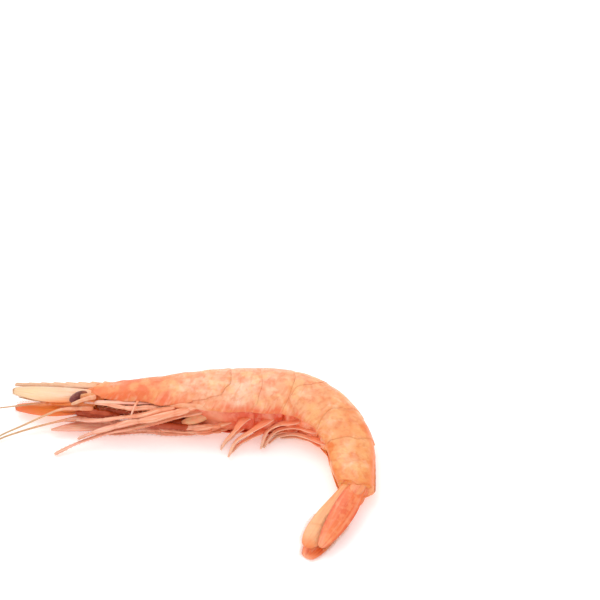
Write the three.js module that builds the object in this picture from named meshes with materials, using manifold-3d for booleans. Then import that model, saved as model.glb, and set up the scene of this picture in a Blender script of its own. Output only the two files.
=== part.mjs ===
// A whole cooked shrimp, shell on, lying on its right side with its head towards -X and its tail
// curled round to -Y. Millimetres and degrees, +Z up, the table it lies on at Z = 0.
//
// The body line runs from the eye sockets to the tip of the tail fan. A station is a distance along
// that line, zero where the head shell ends and the first tail segment begins, negative in the head.
import * as THREE from "three";
import { mergeVertices } from "three/addons/utils/BufferGeometryUtils.js";
import Module from "manifold-3d";

const wasm = await Module();
wasm.setup();

// Driving dimensions of the body, stretch by stretch. heading is the way the body line points, seen
// from above; it holds over the straight share of the stretch and turns evenly in between. flap is
// how far the side flaps hang past the belly, ridge how far the keel along the back stands up.
const STRETCHES = [
  { name: "carapace", length: 36.0, heading: -2, straight: [0, 1], flap: 1.0, ridge: 0.2 },
  { name: "segment_1", length: 8.2, heading: 1, straight: [0.5, 0.5], flap: 1.0, ridge: 0 },
  { name: "segment_2", length: 7.6, heading: -1, straight: [0.5, 0.5], flap: 1.5, ridge: 0 },
  { name: "segment_3", length: 8.6, heading: -16, straight: [0.5, 0.5], flap: 1.4, ridge: 0 },
  { name: "segment_4", length: 9.4, heading: -42, straight: [0.5, 0.5], flap: 1.2, ridge: 0.3 },
  { name: "segment_5", length: 6.4, heading: -64, straight: [0.5, 0.5], flap: 0.9, ridge: 0.4 },
  { name: "segment_6", length: 13.7, heading: -86, straight: [0.3, 0.85], flap: 0.3, ridge: 0.5 },
  { name: "tail_fan", length: 26.0, heading: -119, straight: [0.12, 1] },
];

// Half sizes of the body at chosen stations: from the body line out to the back, to the belly and
// to each side, and the height of the body line above the table.
const SECTIONS = [
  { at: -36.0, back: 4.4, belly: 3.2, side: 3.6, height: 5.6 },
  { at: -28.0, back: 5.0, belly: 3.9, side: 5.0, height: 6.1 },
  { at: -18.0, back: 5.9, belly: 4.9, side: 6.2, height: 6.5 },
  { at: -11.0, back: 7.3, belly: 6.2, side: 7.0, height: 6.7 },
  { at: -4.0, back: 8.5, belly: 7.8, side: 7.3, height: 6.9 },
  { at: 0.0, back: 9.0, belly: 8.5, side: 7.4, height: 7.0 },
  { at: 12.0, back: 9.3, belly: 8.6, side: 7.3, height: 6.9 },
  { at: 20.0, back: 9.0, belly: 8.2, side: 6.9, height: 6.5 },
  { at: 29.0, back: 7.9, belly: 7.2, side: 6.0, height: 5.6 },
  { at: 37.0, back: 6.6, belly: 6.7, side: 5.0, height: 4.7 },
  { at: 45.0, back: 5.6, belly: 6.4, side: 4.4, height: 4.1 },
  { at: 54.0, back: 4.4, belly: 4.7, side: 3.6, height: 3.5 },
  { at: 80.0, back: 3.0, belly: 3.0, side: 2.0, height: 1.9 },
];

const GAP = 0.3; // between neighbouring pieces
const LIP = 0.4; // how far a segment's rear edge stands out over the next one
const TUCK = 0.25; // how far its front edge is drawn in under the one before
const BELLY_HOLLOW = 0.86; // the belly's share of its depth between the side flaps
const BOXY = 0.75; // exponent that squares off the belly half of a section; 1 is an ellipse
const BODY_SIDES = 24;
const LINE_STEP = 0.2;

const radians = THREE.MathUtils.degToRad;
const { lerp, mapLinear, smoothstep } = THREE.MathUtils;
const at = (x, y, z) => new THREE.Vector3(x, y, z);
const UP = at(0, 0, 1);

// A value from rows sorted by their key "at", in straight lines between them.
function readRow(rows, key, where) {
  if (where <= rows[0].at) return rows[0][key];
  const next = rows.findIndex((row) => row.at >= where);
  if (next < 0) return rows.at(-1)[key];
  const [low, high] = [rows[next - 1], rows[next]];
  return mapLinear(where, low.at, high.at, low[key], high[key]);
}
const sizeAt = (key, station) => readRow(SECTIONS, key, station);

// The headings as rows, and each stretch's first and last station.
const headings = [];
const span = {};
let reached = -STRETCHES[0].length;
for (const { name, length, heading, straight } of STRETCHES) {
  for (const share of straight) headings.push({ at: reached + share * length, heading });
  span[name] = [reached, reached + length];
  reached += length;
}

// A place on the body line and the way to the back there, found by summing short steps.
function bodyLine(station) {
  const steps = Math.max(1, Math.ceil(Math.abs(station) / LINE_STEP));
  const step = station / steps;
  const centre = at(0, 0, sizeAt("height", station));
  for (let i = 0; i < steps; i++) {
    const turn = radians(readRow(headings, "heading", (i + 0.5) * step));
    centre.x += step * Math.cos(turn);
    centre.y += step * Math.sin(turn);
  }
  const turn = radians(readRow(headings, "heading", station));
  return { centre, back: at(-Math.sin(turn), Math.cos(turn), 0) };
}

// A place beside the body line, out towards the belly and at a height above the table.
function bellySide(station, out, height) {
  const { centre, back } = bodyLine(station);
  return centre.addScaledVector(back, -out).setZ(height);
}

// A closed solid through rings of equally many points.
function loft(rings) {
  const sides = rings[0].length;
  const ends = [rings[0], rings.at(-1)].map((ring) =>
    ring.reduce((sum, p) => sum.add(p), at(0, 0, 0)).divideScalar(sides),
  );
  const points = [...rings.flat(), ...ends];
  const [first, last] = [points.length - 2, points.length - 1];
  const faces = [];
  for (let k = 0; k < sides; k++) {
    const next = (k + 1) % sides;
    for (let i = 0; i + 1 < rings.length; i++) {
      const [a, b] = [i * sides + k, i * sides + next];
      faces.push(a, b, a + sides, b, b + sides, a + sides);
    }
    const end = (rings.length - 1) * sides;
    faces.push(first, next, k, last, end + k, end + next);
  }
  const positions = new Float32Array(points.flatMap((p) => p.toArray()));
  const geometry = new THREE.BufferGeometry()
    .setAttribute("position", new THREE.BufferAttribute(positions, 3))
    .setIndex(faces);
  return toSolid(geometry);
}

// Between three.js geometry and manifold-3d solids.
function toSolid(geometry) {
  const bare = geometry.clone();
  bare.deleteAttribute("normal");
  bare.deleteAttribute("uv");
  const merged = mergeVertices(bare, 1e-4);
  return new wasm.Manifold(
    new wasm.Mesh({
      numProp: 3,
      vertProperties: merged.attributes.position.array,
      triVerts: new Uint32Array(merged.index.array),
    }),
  );
}

function toGeometry(solid) {
  const mesh = solid.getMesh();
  return new THREE.BufferGeometry()
    .setAttribute("position", new THREE.BufferAttribute(mesh.vertProperties, 3))
    .setIndex(new THREE.BufferAttribute(mesh.triVerts, 1));
}

const power = (value, exponent) => Math.sign(value) * Math.abs(value) ** exponent;

// One ring of the body: round along the back, squarer below, with a flap hanging down each side of
// a hollow belly. swell moves it outwards, and what would go into the table is pressed flat.
function bodyRing(station, { swell = 0, flap = 0, ridge = 0, shrink = 1 }) {
  const { centre, back } = bodyLine(station);
  const [up, down, across] = ["back", "belly", "side"].map((key) => sizeAt(key, station) * shrink + swell);
  const ring = [];
  for (let k = 0; k < BODY_SIDES; k++) {
    const turn = (2 * Math.PI * k) / BODY_SIDES;
    const [cos, sin] = [Math.cos(turn), Math.sin(turn)];
    const fromBelly = Math.abs(k - BODY_SIDES / 2);
    let reach = cos > 0 ? up * cos : down * power(cos, BOXY);
    if (k === 0) reach += ridge;
    if (fromBelly < 2) reach *= BELLY_HOLLOW;
    if (fromBelly === 2) reach -= flap;
    if (fromBelly === 3) reach -= flap * 0.4;
    const place = centre.clone().addScaledVector(back, reach);
    place.z = Math.max(0, place.z + across * (cos > 0 ? sin : power(sin, BOXY)));
    ring.push(place);
  }
  return ring;
}

// The head shell: rounded in front, its rear edge lipped over the first tail segment.
const CARAPACE_STEPS = 9;
const NOSE = [
  { ahead: 1.6, shrink: 0.5 },
  { ahead: 0.7, shrink: 0.86 },
];
function carapaceShell(grow) {
  const [front, rear] = span.carapace;
  const { flap, ridge } = STRETCHES[0];
  const rings = NOSE.map(({ ahead, shrink }) => bodyRing(front - ahead - grow, { swell: grow, shrink }));
  for (let i = 0; i <= CARAPACE_STEPS; i++) {
    const share = i / CARAPACE_STEPS;
    const station = lerp(front, rear - GAP + grow, share);
    const swell = grow + LIP * share ** 3;
    rings.push(bodyRing(station, { swell, flap: flap * Math.sqrt(share), ridge: ridge * (1 - share) }));
  }
  return loft(rings);
}

// A tail segment: tucked in at the front, lipped at the rear, its flaps longest half way.
const SEGMENT_STEPS = 5;
function segmentShell({ name, flap, ridge }, grow) {
  const [front, rear] = span[name];
  const rings = [];
  for (let i = 0; i <= SEGMENT_STEPS; i++) {
    const share = i / SEGMENT_STEPS;
    const station = lerp(front - grow, rear - GAP + grow, share);
    const swell = grow + lerp(-TUCK, LIP, Math.sqrt(share));
    const hang = flap * Math.sin(Math.PI * (0.1 + 0.8 * share));
    rings.push(bodyRing(station, { swell, flap: hang, ridge: ridge * share }));
  }
  return loft(rings);
}

// A limb or blade: flattened rings along a smooth curve. width and thickness give half sizes for a
// share of the length, and facing is the way that its flat side looks.
function limb({ path, width, thickness, facing = UP, steps, sides = 6 }, grow) {
  const curve = new THREE.CatmullRomCurve3(path, false, "centripetal");
  const rings = [];
  for (let i = 0; i <= steps; i++) {
    const share = i / steps;
    const along = curve.getTangentAt(share);
    const centre = curve.getPointAt(share);
    if (i === 0) centre.addScaledVector(along, -grow);
    if (i === steps) centre.addScaledVector(along, grow);
    const across = at(0, 0, 0).crossVectors(facing, along).normalize();
    const out = at(0, 0, 0).crossVectors(along, across);
    const ring = [];
    for (let k = 0; k < sides; k++) {
      const turn = (2 * Math.PI * (k + 0.5)) / sides;
      const place = centre
        .clone()
        .addScaledVector(across, (width(share) + grow) * Math.cos(turn))
        .addScaledVector(out, (thickness(share) + grow) * Math.sin(turn));
      ring.push(place.setZ(Math.max(0, place.z)));
    }
    rings.push(ring);
  }
  return loft(rings);
}
const tapered = (from, to) => (share) => lerp(from, to, share);

// The underside of the head, between the roots of the legs: a long, rounded body set into the
// hollow of the shell.
const UNDERSIDE = { front: -35, rear: -2, depth: 3.2, half: 2.3, below: 0.5, steps: 6, sides: 10 };
function thoraxUnderside(grow) {
  const { front, rear, depth, half, below, steps, sides } = UNDERSIDE;
  const rings = [];
  for (let i = 0; i <= steps; i++) {
    const share = i / steps;
    const station = lerp(front - grow, rear + grow, share);
    const full = Math.sqrt(Math.sin(Math.PI * lerp(0.12, 0.9, share)));
    const { centre, back } = bodyLine(station);
    const middle = sizeAt("belly", station) * BELLY_HOLLOW + depth * full * 0.25;
    const ring = [];
    for (let k = 0; k < sides; k++) {
      const turn = (2 * Math.PI * k) / sides;
      const reach = (depth * full * 0.5 + grow) * Math.cos(turn) - middle;
      const place = centre.clone().addScaledVector(back, reach);
      ring.push(place.setZ(centre.z - below + (half * full + grow) * Math.sin(turn)));
    }
    rings.push(ring);
  }
  return loft(rings);
}

// The rostrum: a saw-backed blade on the middle line, in front of the head shell.
const ROSTRUM = { root: at(-31, 4.6, 6.3), bend: at(-45, 5.2, 5.8), tip: at(-58.4, 6.9, 5.4) };
const ROSTRUM_DEPTH = 1.4;
const ROSTRUM_HALF_WIDTH = 0.5;
const ROSTRUM_TEETH = 8;
const TOOTH = 0.6;
function rostrum(grow) {
  const steps = 2 * ROSTRUM_TEETH;
  const saw = (share) => (Math.round(share * steps) % 2 ? 0 : TOOTH * (1 - share));
  const width = (share) => lerp(ROSTRUM_DEPTH, 0.3, share) + saw(share);
  const thickness = tapered(ROSTRUM_HALF_WIDTH, 0.25);
  return limb({ path: [ROSTRUM.root, ROSTRUM.bend, ROSTRUM.tip], width, thickness, steps }, grow);
}

// Eyes, longer than thick, one on the upper side of the head and one below.
const EYE = { long: 2.6, round: 1.6, turn: 36 };
const EYE_PLACE = { left: at(-40.4, -1.2, 9.3), right: at(-40.6, 0.4, 2.3) };
const eye = (side, grow) =>
  toSolid(
    new THREE.SphereGeometry(1, 12, 8)
      .scale(EYE.long + grow, EYE.round + grow, EYE.round + grow)
      .rotateZ(radians(EYE.turn))
      .translate(...EYE_PLACE[side].toArray()),
  );

// The half width of a leaf: broad soon after its stalk and rounded off at the tip, the more bluntly
// the lower the exponent.
const leaf = (half, stalk, exponent = 0.5) => (share) =>
  Math.max(stalk * (1 - share), half * Math.sin(Math.PI * (0.05 + 0.93 * share) ** 0.8) ** exponent);

// Antennal scales: the broad blades beside the snout.
const SCALE = {
  left: { path: [at(-37.9, 0.9, 7.4), at(-47.5, 0.9, 8.1), at(-58.6, 2.6, 7.6)], half: 3.0 },
  right: { path: [at(-37.9, -0.3, 3.9), at(-47.5, -0.3, 3.1), at(-58.4, 0.9, 2.4)], half: 2.7 },
};
function antennalScale(side, grow) {
  const { path, half } = SCALE[side];
  return limb({ path, width: leaf(half, 1.2, 0.34), thickness: tapered(0.5, 0.3), steps: 11, sides: 8 }, grow);
}

// Antennules: a jointed stalk that forks into two short feelers, swaying by so much at their tips.
const ANTENNULE = {
  left: {
    root: at(-38.2, 2.2, 6.3),
    end: at(-50.0, 1.0, 6.2),
    tips: [at(-8.0, 1.2, 0.2), at(-7.5, -0.6, -1.0)],
  },
  right: {
    root: at(-38.2, 2.0, 5.0),
    end: at(-50.0, 0.7, 4.5),
    tips: [at(-8.0, 0.9, 0.3), at(-13.5, -1.4, -0.8)],
  },
};
function antennule(side, grow) {
  const { root, end, tips } = ANTENNULE[side];
  const middle = root.clone().lerp(end, 0.5);
  const fork = root.clone().lerp(end, 0.9);
  const stalk = {
    path: [root, middle, end],
    width: tapered(1.1, 0.7),
    thickness: tapered(0.6, 0.45),
    steps: 4,
  };
  const feelers = tips.map((sway) => ({
    path: [fork, end.clone().addScaledVector(sway, 0.5), end.clone().add(sway)],
    width: tapered(0.35, 0.22),
    thickness: tapered(0.35, 0.22),
    steps: 5,
    sides: 5,
  }));
  return wasm.Manifold.union([stalk, ...feelers].map((row) => limb(row, grow)));
}

// Antennae: a stout stalk and a long whip that runs forward, down to the table and round.
const ANTENNA = {
  left: [
    at(-36.2, -3.9, 7.6),
    at(-40.7, -4.2, 7.9),
    at(-45.6, -4.1, 7.2),
    at(-49.5, -4.9, 6.2),
    at(-55.1, -6.6, 4.2),
    at(-61.8, -8.9, 2.3),
    at(-70.0, -14.5, 0.8),
    at(-75.5, -23.0, 0.4),
    at(-77.5, -33.0, 0.4),
  ],
  right: [
    at(-36.4, -3.4, 4.4),
    at(-40.7, -4.2, 4.0),
    at(-45.0, -4.9, 3.2),
    at(-51.1, -6.2, 2.0),
    at(-61.9, -10.2, 0.8),
    at(-68.0, -15.0, 0.4),
    at(-72.3, -22.5, 0.4),
    at(-72.6, -31.0, 0.4),
    at(-69.0, -39.0, 0.4),
  ],
};
const WHIP = { stalk: 0.95, root: 0.34, tip: 0.22, stalkShare: 0.2 };
function whip(share) {
  if (share < WHIP.stalkShare) return lerp(WHIP.stalk, WHIP.root, share / WHIP.stalkShare);
  return lerp(WHIP.root, WHIP.tip, share);
}
function antenna(side, grow) {
  return limb({ path: ANTENNA[side], width: whip, thickness: whip, steps: 24, sides: 5 }, grow);
}

// The last pair of jaw legs and the five pairs of walking legs, all laid forward under the head.
// root is the root's station and its distance from the body line, and long the length. sweep is the
// heading below straight ahead at the root and what is added to it by the tip, high the heights of
// root and tip, and broad the half width of the thickest joint.
const LEGS = [
  { name: "jaw_leg_left", root: [-18, 5.6], long: 21, sweep: [-1, -8], high: [9.2, 8.4], broad: 0.9 },
  { name: "jaw_leg_right", root: [-18, 5.6], long: 21, sweep: [1, -6], high: [2.2, 1.6], broad: 0.8 },
  { name: "leg_1_left", root: [-13.5, 7.0], long: 30, sweep: [6, -14], high: [10.1, 3.8], broad: 1.0 },
  { name: "leg_1_right", root: [-13.5, 7.2], long: 31, sweep: [0, -1], high: [4.4, 2.6], broad: 0.9 },
  { name: "leg_2_left", root: [-9.5, 8.1], long: 31, sweep: [1, 11], high: [10.6, 3.2], broad: 1.2 },
  { name: "leg_2_right", root: [-9.5, 7.2], long: 27, sweep: [0, 4], high: [3.4, 1.4], broad: 0.9 },
  { name: "leg_3_left", root: [-6.2, 8.4], long: 41.4, sweep: [-5, 25], high: [8.2, 0.7], broad: 1.1 },
  { name: "leg_3_right", root: [-6.2, 7.2], long: 30, sweep: [-1, 4], high: [1.5, 0.6], broad: 0.8 },
  { name: "leg_4_left", root: [-3.4, 9.2], long: 24, sweep: [-2, -3], high: [5.0, 2.6], broad: 1.0 },
  { name: "leg_4_right", root: [-3.4, 8.4], long: 22, sweep: [-2, -2], high: [2.9, 1.2], broad: 0.8 },
  { name: "leg_5_left", root: [-1.0, 9.4], long: 17, sweep: [1, -6], high: [6.8, 4.2], broad: 1.0 },
  { name: "leg_5_right", root: [-1.0, 8.8], long: 16, sweep: [0, -5], high: [3.9, 3.2], broad: 0.8 },
];
const LEG_PIECES = 6;
const KNEE = { share: 0.45, before: 4, after: -4 }; // extra sweep before and after the knee
const FLATNESS = 0.5; // a leg's thickness as a share of its width
function legPath({ root, long, sweep, high }) {
  const place = bellySide(...root, high[0]);
  const path = [place.clone()];
  for (let i = 1; i <= LEG_PIECES; i++) {
    const share = i / LEG_PIECES;
    const bend = share < KNEE.share ? KNEE.before : KNEE.after;
    const turn = radians(sweep[0] + sweep[1] * share + bend);
    place.x -= (long / LEG_PIECES) * Math.cos(turn);
    place.y -= (long / LEG_PIECES) * Math.sin(turn);
    path.push(place.clone().setZ(lerp(...high, share ** 1.2)));
  }
  return path;
}
function leg(row, grow) {
  const width = (share) => Math.max(0.35, row.broad * (1 - 0.75 * share ** 1.5));
  const thickness = (share) => FLATNESS * width(share);
  return limb({ path: legPath(row), width, thickness, steps: 8 }, grow);
}

// Swimmerets: a pair under each of the first five tail segments, trailing forward. The right one of
// a pair, listed second, lies under the left one.
const SWIMMERETS = [
  [
    [at(4.4, -8.7, 8.2), at(1.6, -11.2, 5.6), at(-0.3, -11.8, 3.2), at(-1.6, -13.5, 1.5)],
    [at(4.6, -7.9, 3.4), at(2.5, -9.6, 2.4), at(0.8, -10.9, 1.5), at(-0.5, -12.2, 0.8)],
  ],
  [
    [at(11.2, -8.5, 8.2), at(6.3, -11.1, 6.2), at(2.5, -12.3, 3.6), at(0.5, -16.0, 1.4)],
    [at(11.7, -7.9, 3.4), at(7.7, -10.0, 2.4), at(4.4, -11.7, 1.5), at(2.2, -14.4, 0.8)],
  ],
  [
    [at(18.9, -8.5, 8.0), at(14.5, -9.4, 7.6), at(10.9, -9.8, 4.6), at(9.3, -13.2, 1.5)],
    [at(19.1, -8.2, 3.4), at(15.6, -8.5, 2.8), at(12.3, -9.7, 1.8), at(10.7, -12.2, 0.8)],
  ],
  [
    [at(24.3, -10.6, 6.6), at(19.4, -9.2, 6.0), at(13.1, -9.4, 4.2), at(10.1, -12.8, 1.5)],
    [at(24.3, -9.8, 3.0), at(20.0, -8.9, 2.6), at(15.0, -9.1, 1.8), at(12.3, -11.1, 0.8)],
  ],
  [
    [at(27.0, -13.7, 5.4), at(23.2, -12.3, 5.0), at(18.3, -10.0, 4.0), at(13.4, -9.9, 2.6)],
    [at(27.0, -13.0, 2.8), at(23.8, -11.1, 2.4), at(19.4, -9.6, 1.9), at(15.6, -9.3, 1.2)],
  ],
];
function swimmeret(path, grow) {
  const width = (share) => lerp(0.9, 0.3, share ** 2);
  return limb({ path, width, thickness: tapered(0.5, 0.3), steps: 9 }, grow);
}

// Tail fan: a pointed middle piece at the back and two blades on each side, folded over each other.
// back is the distance of root and tip from the body line towards the back, high theirs above the
// table, size the length, half width and half thickness, and tilt turns the flat side from the back
// up towards the left.
const FAN = [
  { name: "telson", back: [1.5, 1.6], high: [3.6, 2.3], size: [15.5, 1.8, 0.5], tilt: 90 },
  { name: "outer_blade_left", back: [-1.9, -3.1], high: [5.0, 3.1], size: [22.6, 3.1, 0.4], tilt: 80 },
  { name: "inner_blade_left", back: [0.9, 0.9], high: [6.3, 4.3], size: [19.5, 2.9, 0.4], tilt: 80 },
  { name: "inner_blade_right", back: [-0.2, -0.3], high: [2.2, 1.4], size: [19.5, 2.9, 0.4], tilt: 90 },
  { name: "outer_blade_right", back: [-0.9, -2.2], high: [0.7, 0.4], size: [24, 3.3, 0.4], tilt: 90 },
];
// The half width of an outer blade: widening to a lobe past the middle, then rounded off.
const lobe = (half, stalk) => (share) =>
  lerp(stalk, half, smoothstep(share, 0, 0.6)) * Math.sqrt(1 - 0.9 * Math.max(0, (share - 0.68) / 0.32) ** 2);
function fanBlade({ name, back, high, size, tilt }, grow) {
  const [long, half, thick] = size;
  const start = span.tail_fan[0] + GAP;
  const path = [0, 0.5, 1].map((share) =>
    bellySide(start + share * long, -lerp(...back, share), lerp(...high, share)),
  );
  const turn = radians(tilt);
  const dorsal = bodyLine(start + long / 2).back;
  const facing = dorsal.multiplyScalar(Math.cos(turn)).addScaledVector(UP, Math.sin(turn));
  const width = (name.startsWith("outer") ? lobe : leaf)(half, 1.7);
  return limb({ path, width, thickness: tapered(thick, 0.3), facing, steps: 10, sides: 8 }, grow);
}

// Every piece. Where two would touch, the later one is cut back from the earlier one.
const SHELL_COLOUR = "#f6a878";
const LIMB_COLOUR = "#f2906c";
const FAN_COLOUR = "#f58f55";
const SCALE_COLOUR = "#f7c894";
const EYE_COLOUR = "#3a1f2a";
const WHIP_COLOUR = "#d98a63";
const SIDES = ["left", "right"];
const SEGMENTS = STRETCHES.slice(1, -1);
const PIECES = [
  { name: "carapace", colour: SHELL_COLOUR, make: (grow) => carapaceShell(grow).add(rostrum(grow)) },
  ...SEGMENTS.map((row) => ({
    name: row.name,
    colour: SHELL_COLOUR,
    make: (grow) => segmentShell(row, grow),
  })),
  { name: "thorax_underside", colour: LIMB_COLOUR, make: (grow) => thoraxUnderside(grow) },
  ...SIDES.flatMap((side) => [
    { name: `eye_${side}`, colour: EYE_COLOUR, make: (grow) => eye(side, grow) },
    { name: `antennal_scale_${side}`, colour: SCALE_COLOUR, make: (grow) => antennalScale(side, grow) },
    { name: `antennule_${side}`, colour: LIMB_COLOUR, make: (grow) => antennule(side, grow) },
    { name: `antenna_${side}`, colour: WHIP_COLOUR, make: (grow) => antenna(side, grow) },
  ]),
  ...FAN.map((row) => ({ name: row.name, colour: FAN_COLOUR, make: (grow) => fanBlade(row, grow) })),
  ...LEGS.map((row) => ({ name: row.name, colour: LIMB_COLOUR, make: (grow) => leg(row, grow) })),
  ...SWIMMERETS.flatMap((pair, i) =>
    SIDES.map((side, k) => ({
      name: `swimmeret_${i + 1}_${side}`,
      colour: LIMB_COLOUR,
      make: (grow) => swimmeret(pair[k], grow),
    })),
  ),
];

// The largest of the bodies that a cut leaves.
function largest(solid) {
  const bodies = solid.decompose();
  return bodies.reduce((best, body) => (body.volume() > best.volume() ? body : best));
}

const shrimp = new THREE.Group();
const placed = [];
for (const { name, colour, make } of PIECES) {
  const solid = largest(placed.reduce((rest, grown) => rest.subtract(grown), make(0)));
  placed.push(make(GAP));
  const material = new THREE.MeshStandardMaterial({ color: colour, roughness: 0.4, metalness: 0 });
  const mesh = new THREE.Mesh(toGeometry(solid), material);
  mesh.name = name;
  shrimp.add(mesh);
}

// The origin goes under the middle of everything, on the table.
const box = new THREE.Box3().setFromObject(shrimp);
const middle = box.getCenter(at(0, 0, 0));
shrimp.position.set(-middle.x, -middle.y, -box.min.z);

export default shrimp;
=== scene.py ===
# %% [markdown]
# # A whole cooked shrimp, shell on
# A shrimp is a row of thin, stiff shells round soft flesh, with jointed limbs below and feelers in
# front. This notebook builds each piece as a mesh, in metres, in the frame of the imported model, so
# that every piece sits where the solid that it stands for sits.

# %% The frame
import math

import bmesh
import bpy
import numpy as np
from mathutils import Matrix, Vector


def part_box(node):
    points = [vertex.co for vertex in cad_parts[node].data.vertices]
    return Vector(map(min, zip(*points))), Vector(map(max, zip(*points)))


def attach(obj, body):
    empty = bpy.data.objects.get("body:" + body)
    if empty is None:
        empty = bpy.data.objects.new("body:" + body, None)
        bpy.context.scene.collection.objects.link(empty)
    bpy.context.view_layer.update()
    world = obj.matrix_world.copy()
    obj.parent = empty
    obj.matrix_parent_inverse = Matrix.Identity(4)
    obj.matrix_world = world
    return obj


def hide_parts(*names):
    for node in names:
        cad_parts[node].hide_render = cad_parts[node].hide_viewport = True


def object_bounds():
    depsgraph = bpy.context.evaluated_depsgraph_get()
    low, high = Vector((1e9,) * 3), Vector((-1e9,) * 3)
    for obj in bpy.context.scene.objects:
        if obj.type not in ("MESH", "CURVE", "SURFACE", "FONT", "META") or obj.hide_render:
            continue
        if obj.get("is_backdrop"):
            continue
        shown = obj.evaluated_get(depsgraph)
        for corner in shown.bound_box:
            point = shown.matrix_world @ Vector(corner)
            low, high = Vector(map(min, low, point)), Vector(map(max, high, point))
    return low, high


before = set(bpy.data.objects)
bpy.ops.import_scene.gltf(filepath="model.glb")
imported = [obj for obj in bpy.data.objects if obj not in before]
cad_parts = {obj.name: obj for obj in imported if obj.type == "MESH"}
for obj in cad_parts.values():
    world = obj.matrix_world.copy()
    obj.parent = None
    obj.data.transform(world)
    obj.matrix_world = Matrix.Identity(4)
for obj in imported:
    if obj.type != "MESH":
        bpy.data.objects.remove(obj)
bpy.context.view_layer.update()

MM = 0.001

# %% [markdown]
# ## Camera
# The photograph was taken with a long lens from in front of the belly, looking down at 48 degrees.
# A long lens keeps the far parts almost as large as the near ones, so the camera stands well back.

# %% Camera
LOOK_DOWN = 48.0  # degrees below the horizon
LENS = 144.0  # mm on a sensor 36 mm wide
CAMERA_PLACE = (38.62, -399.22, 512.77)  # mm

camera_data = bpy.data.cameras.new("camera")
camera_data.lens = LENS
camera_data.clip_start = 0.01
camera = bpy.data.objects.new("camera", camera_data)
camera.location = Vector(CAMERA_PLACE) * MM
camera.rotation_euler = (math.radians(90.0 - LOOK_DOWN), 0.0, 0.0)
bpy.context.scene.collection.objects.link(camera)
bpy.context.scene.camera = camera
print("camera", round(camera.location.length / MM), "mm from the middle of the part")

# %% [markdown]
# ## Colours and nodes
# A hex colour is written for a screen, with its steps packed towards the darks, while Blender's
# shaders add up light. One function turns the first into the second. Another small one adds any
# node with its settings and its links, which keeps the material recipes short enough to read.


# %% Colours
def tint(hex_colour):
    """The linear colour of an sRGB hex value."""
    parts = [int(hex_colour[i : i + 2], 16) / 255 for i in (1, 3, 5)]
    return [p / 12.92 if p <= 0.04045 else ((p + 0.055) / 1.055) ** 2.4 for p in parts] + [1.0]


print("white is", tint("#ffffff")[0], "and mid grey", round(tint("#808080")[0], 3))


# %% Nodes
def add(tree, kind, out=0, stops=(), **values):
    """Adds a node and returns one of its outputs.

    A value goes to the input of that number, as i0, or of that name, with a capital, and else to
    a setting of the node. stops are the places and hex colours of a colour ramp.
    """
    made = tree.nodes.new("ShaderNode" + kind)
    for key, value in values.items():
        numbered = key[1:].isdigit()
        if not numbered and key[0].islower():
            setattr(made, key, value)
            continue
        socket = made.inputs[int(key[1:]) if numbered else key.replace("_", " ")]
        if isinstance(value, bpy.types.NodeSocket):
            tree.links.new(value, socket)
        else:
            socket.default_value = tint(value) if isinstance(value, str) else value
    if stops:
        elements = made.color_ramp.elements
        for place, _ in stops[1:-1]:
            elements.new(place)
        for element, (place, colour) in zip(elements, stops):
            element.position = place
            element.color = tint(colour)
    return made.outputs[out]


print("nodes are added by one function")

# %% [markdown]
# ## Floor
# The shrimp lies on a matt white table. For food on pure white such a table is opal sheet, lit
# softly from below, so that shadows stay faint and the lower sides of the food catch some light.
# Its white is a touch pink, too little to show in full light, but it warms the faint shadow.

# %% Floor
FLOOR_SIDE = 3.0  # metres
FLOOR_GAP = 0.02  # mm below the shrimp
OPAL_CLOUD = 1.1  # mm
GLOW = 0.26  # light from below, against 1 for a white sheet in full light


def opal_sheet():
    """Cast opal sheet, sanded matt, hardly cloudy; it glows faintly, as if lit from below."""
    made = bpy.data.materials.new("opal_sheet")
    made.use_nodes = True
    tree = made.node_tree
    shader = tree.nodes["Principled BSDF"]
    shader.inputs["Roughness"].default_value = 0.9
    shader.inputs["Specular IOR Level"].default_value = 0.1
    shader.inputs["Emission Color"].default_value = tint("#fff7f6")
    shader.inputs["Emission Strength"].default_value = GLOW
    cloud = add(tree, "TexNoise", Scale=1 / (OPAL_CLOUD * MM), Detail=2.0)
    shade = add(tree, "ValToRGB", Fac=cloud, stops=((0.3, "#fbf4f3"), (0.7, "#fdf7f6")))
    tree.links.new(shade, shader.inputs["Base Color"])
    return made


half = FLOOR_SIDE / 2
corners = [(-half, -half, 0.0), (half, -half, 0.0), (half, half, 0.0), (-half, half, 0.0)]
floor_mesh = bpy.data.meshes.new("floor")
floor_mesh.from_pydata(corners, [], [(0, 1, 2, 3)])
floor_mesh.materials.append(opal_sheet())
floor = bpy.data.objects.new("floor", floor_mesh)
floor.location.z = -FLOOR_GAP * MM
bpy.context.scene.collection.objects.link(floor)
floor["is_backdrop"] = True
print("floor", FLOOR_SIDE, "m square")

# %% [markdown]
# ## Light
# Food on white is lit to lose the background: an even white sky from all around, bright enough that
# the board goes to pure white, and one large panel above and a little behind. The panel gives the
# soft sheen on the upper side and the faint shadow on the near side. The standard view keeps the
# warm colours as they are, where a filmic one would grey them.

# %% Light
SKY = 0.98  # strength of the even white sky
PANEL_POWER = 3.0  # watts
PANEL_SIDE = 0.8  # metres
PANEL_PLACE = (-0.25, 0.45, 0.85)  # metres


def panel(name, place, power, side):
    """A soft square light that faces the middle of the part."""
    data = bpy.data.lights.new(name, "AREA")
    data.energy = power
    data.size = side
    made = bpy.data.objects.new(name, data)
    made.location = place
    made.rotation_euler = (-Vector(place)).to_track_quat("-Z", "Y").to_euler()
    bpy.context.scene.collection.objects.link(made)
    return made


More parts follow.
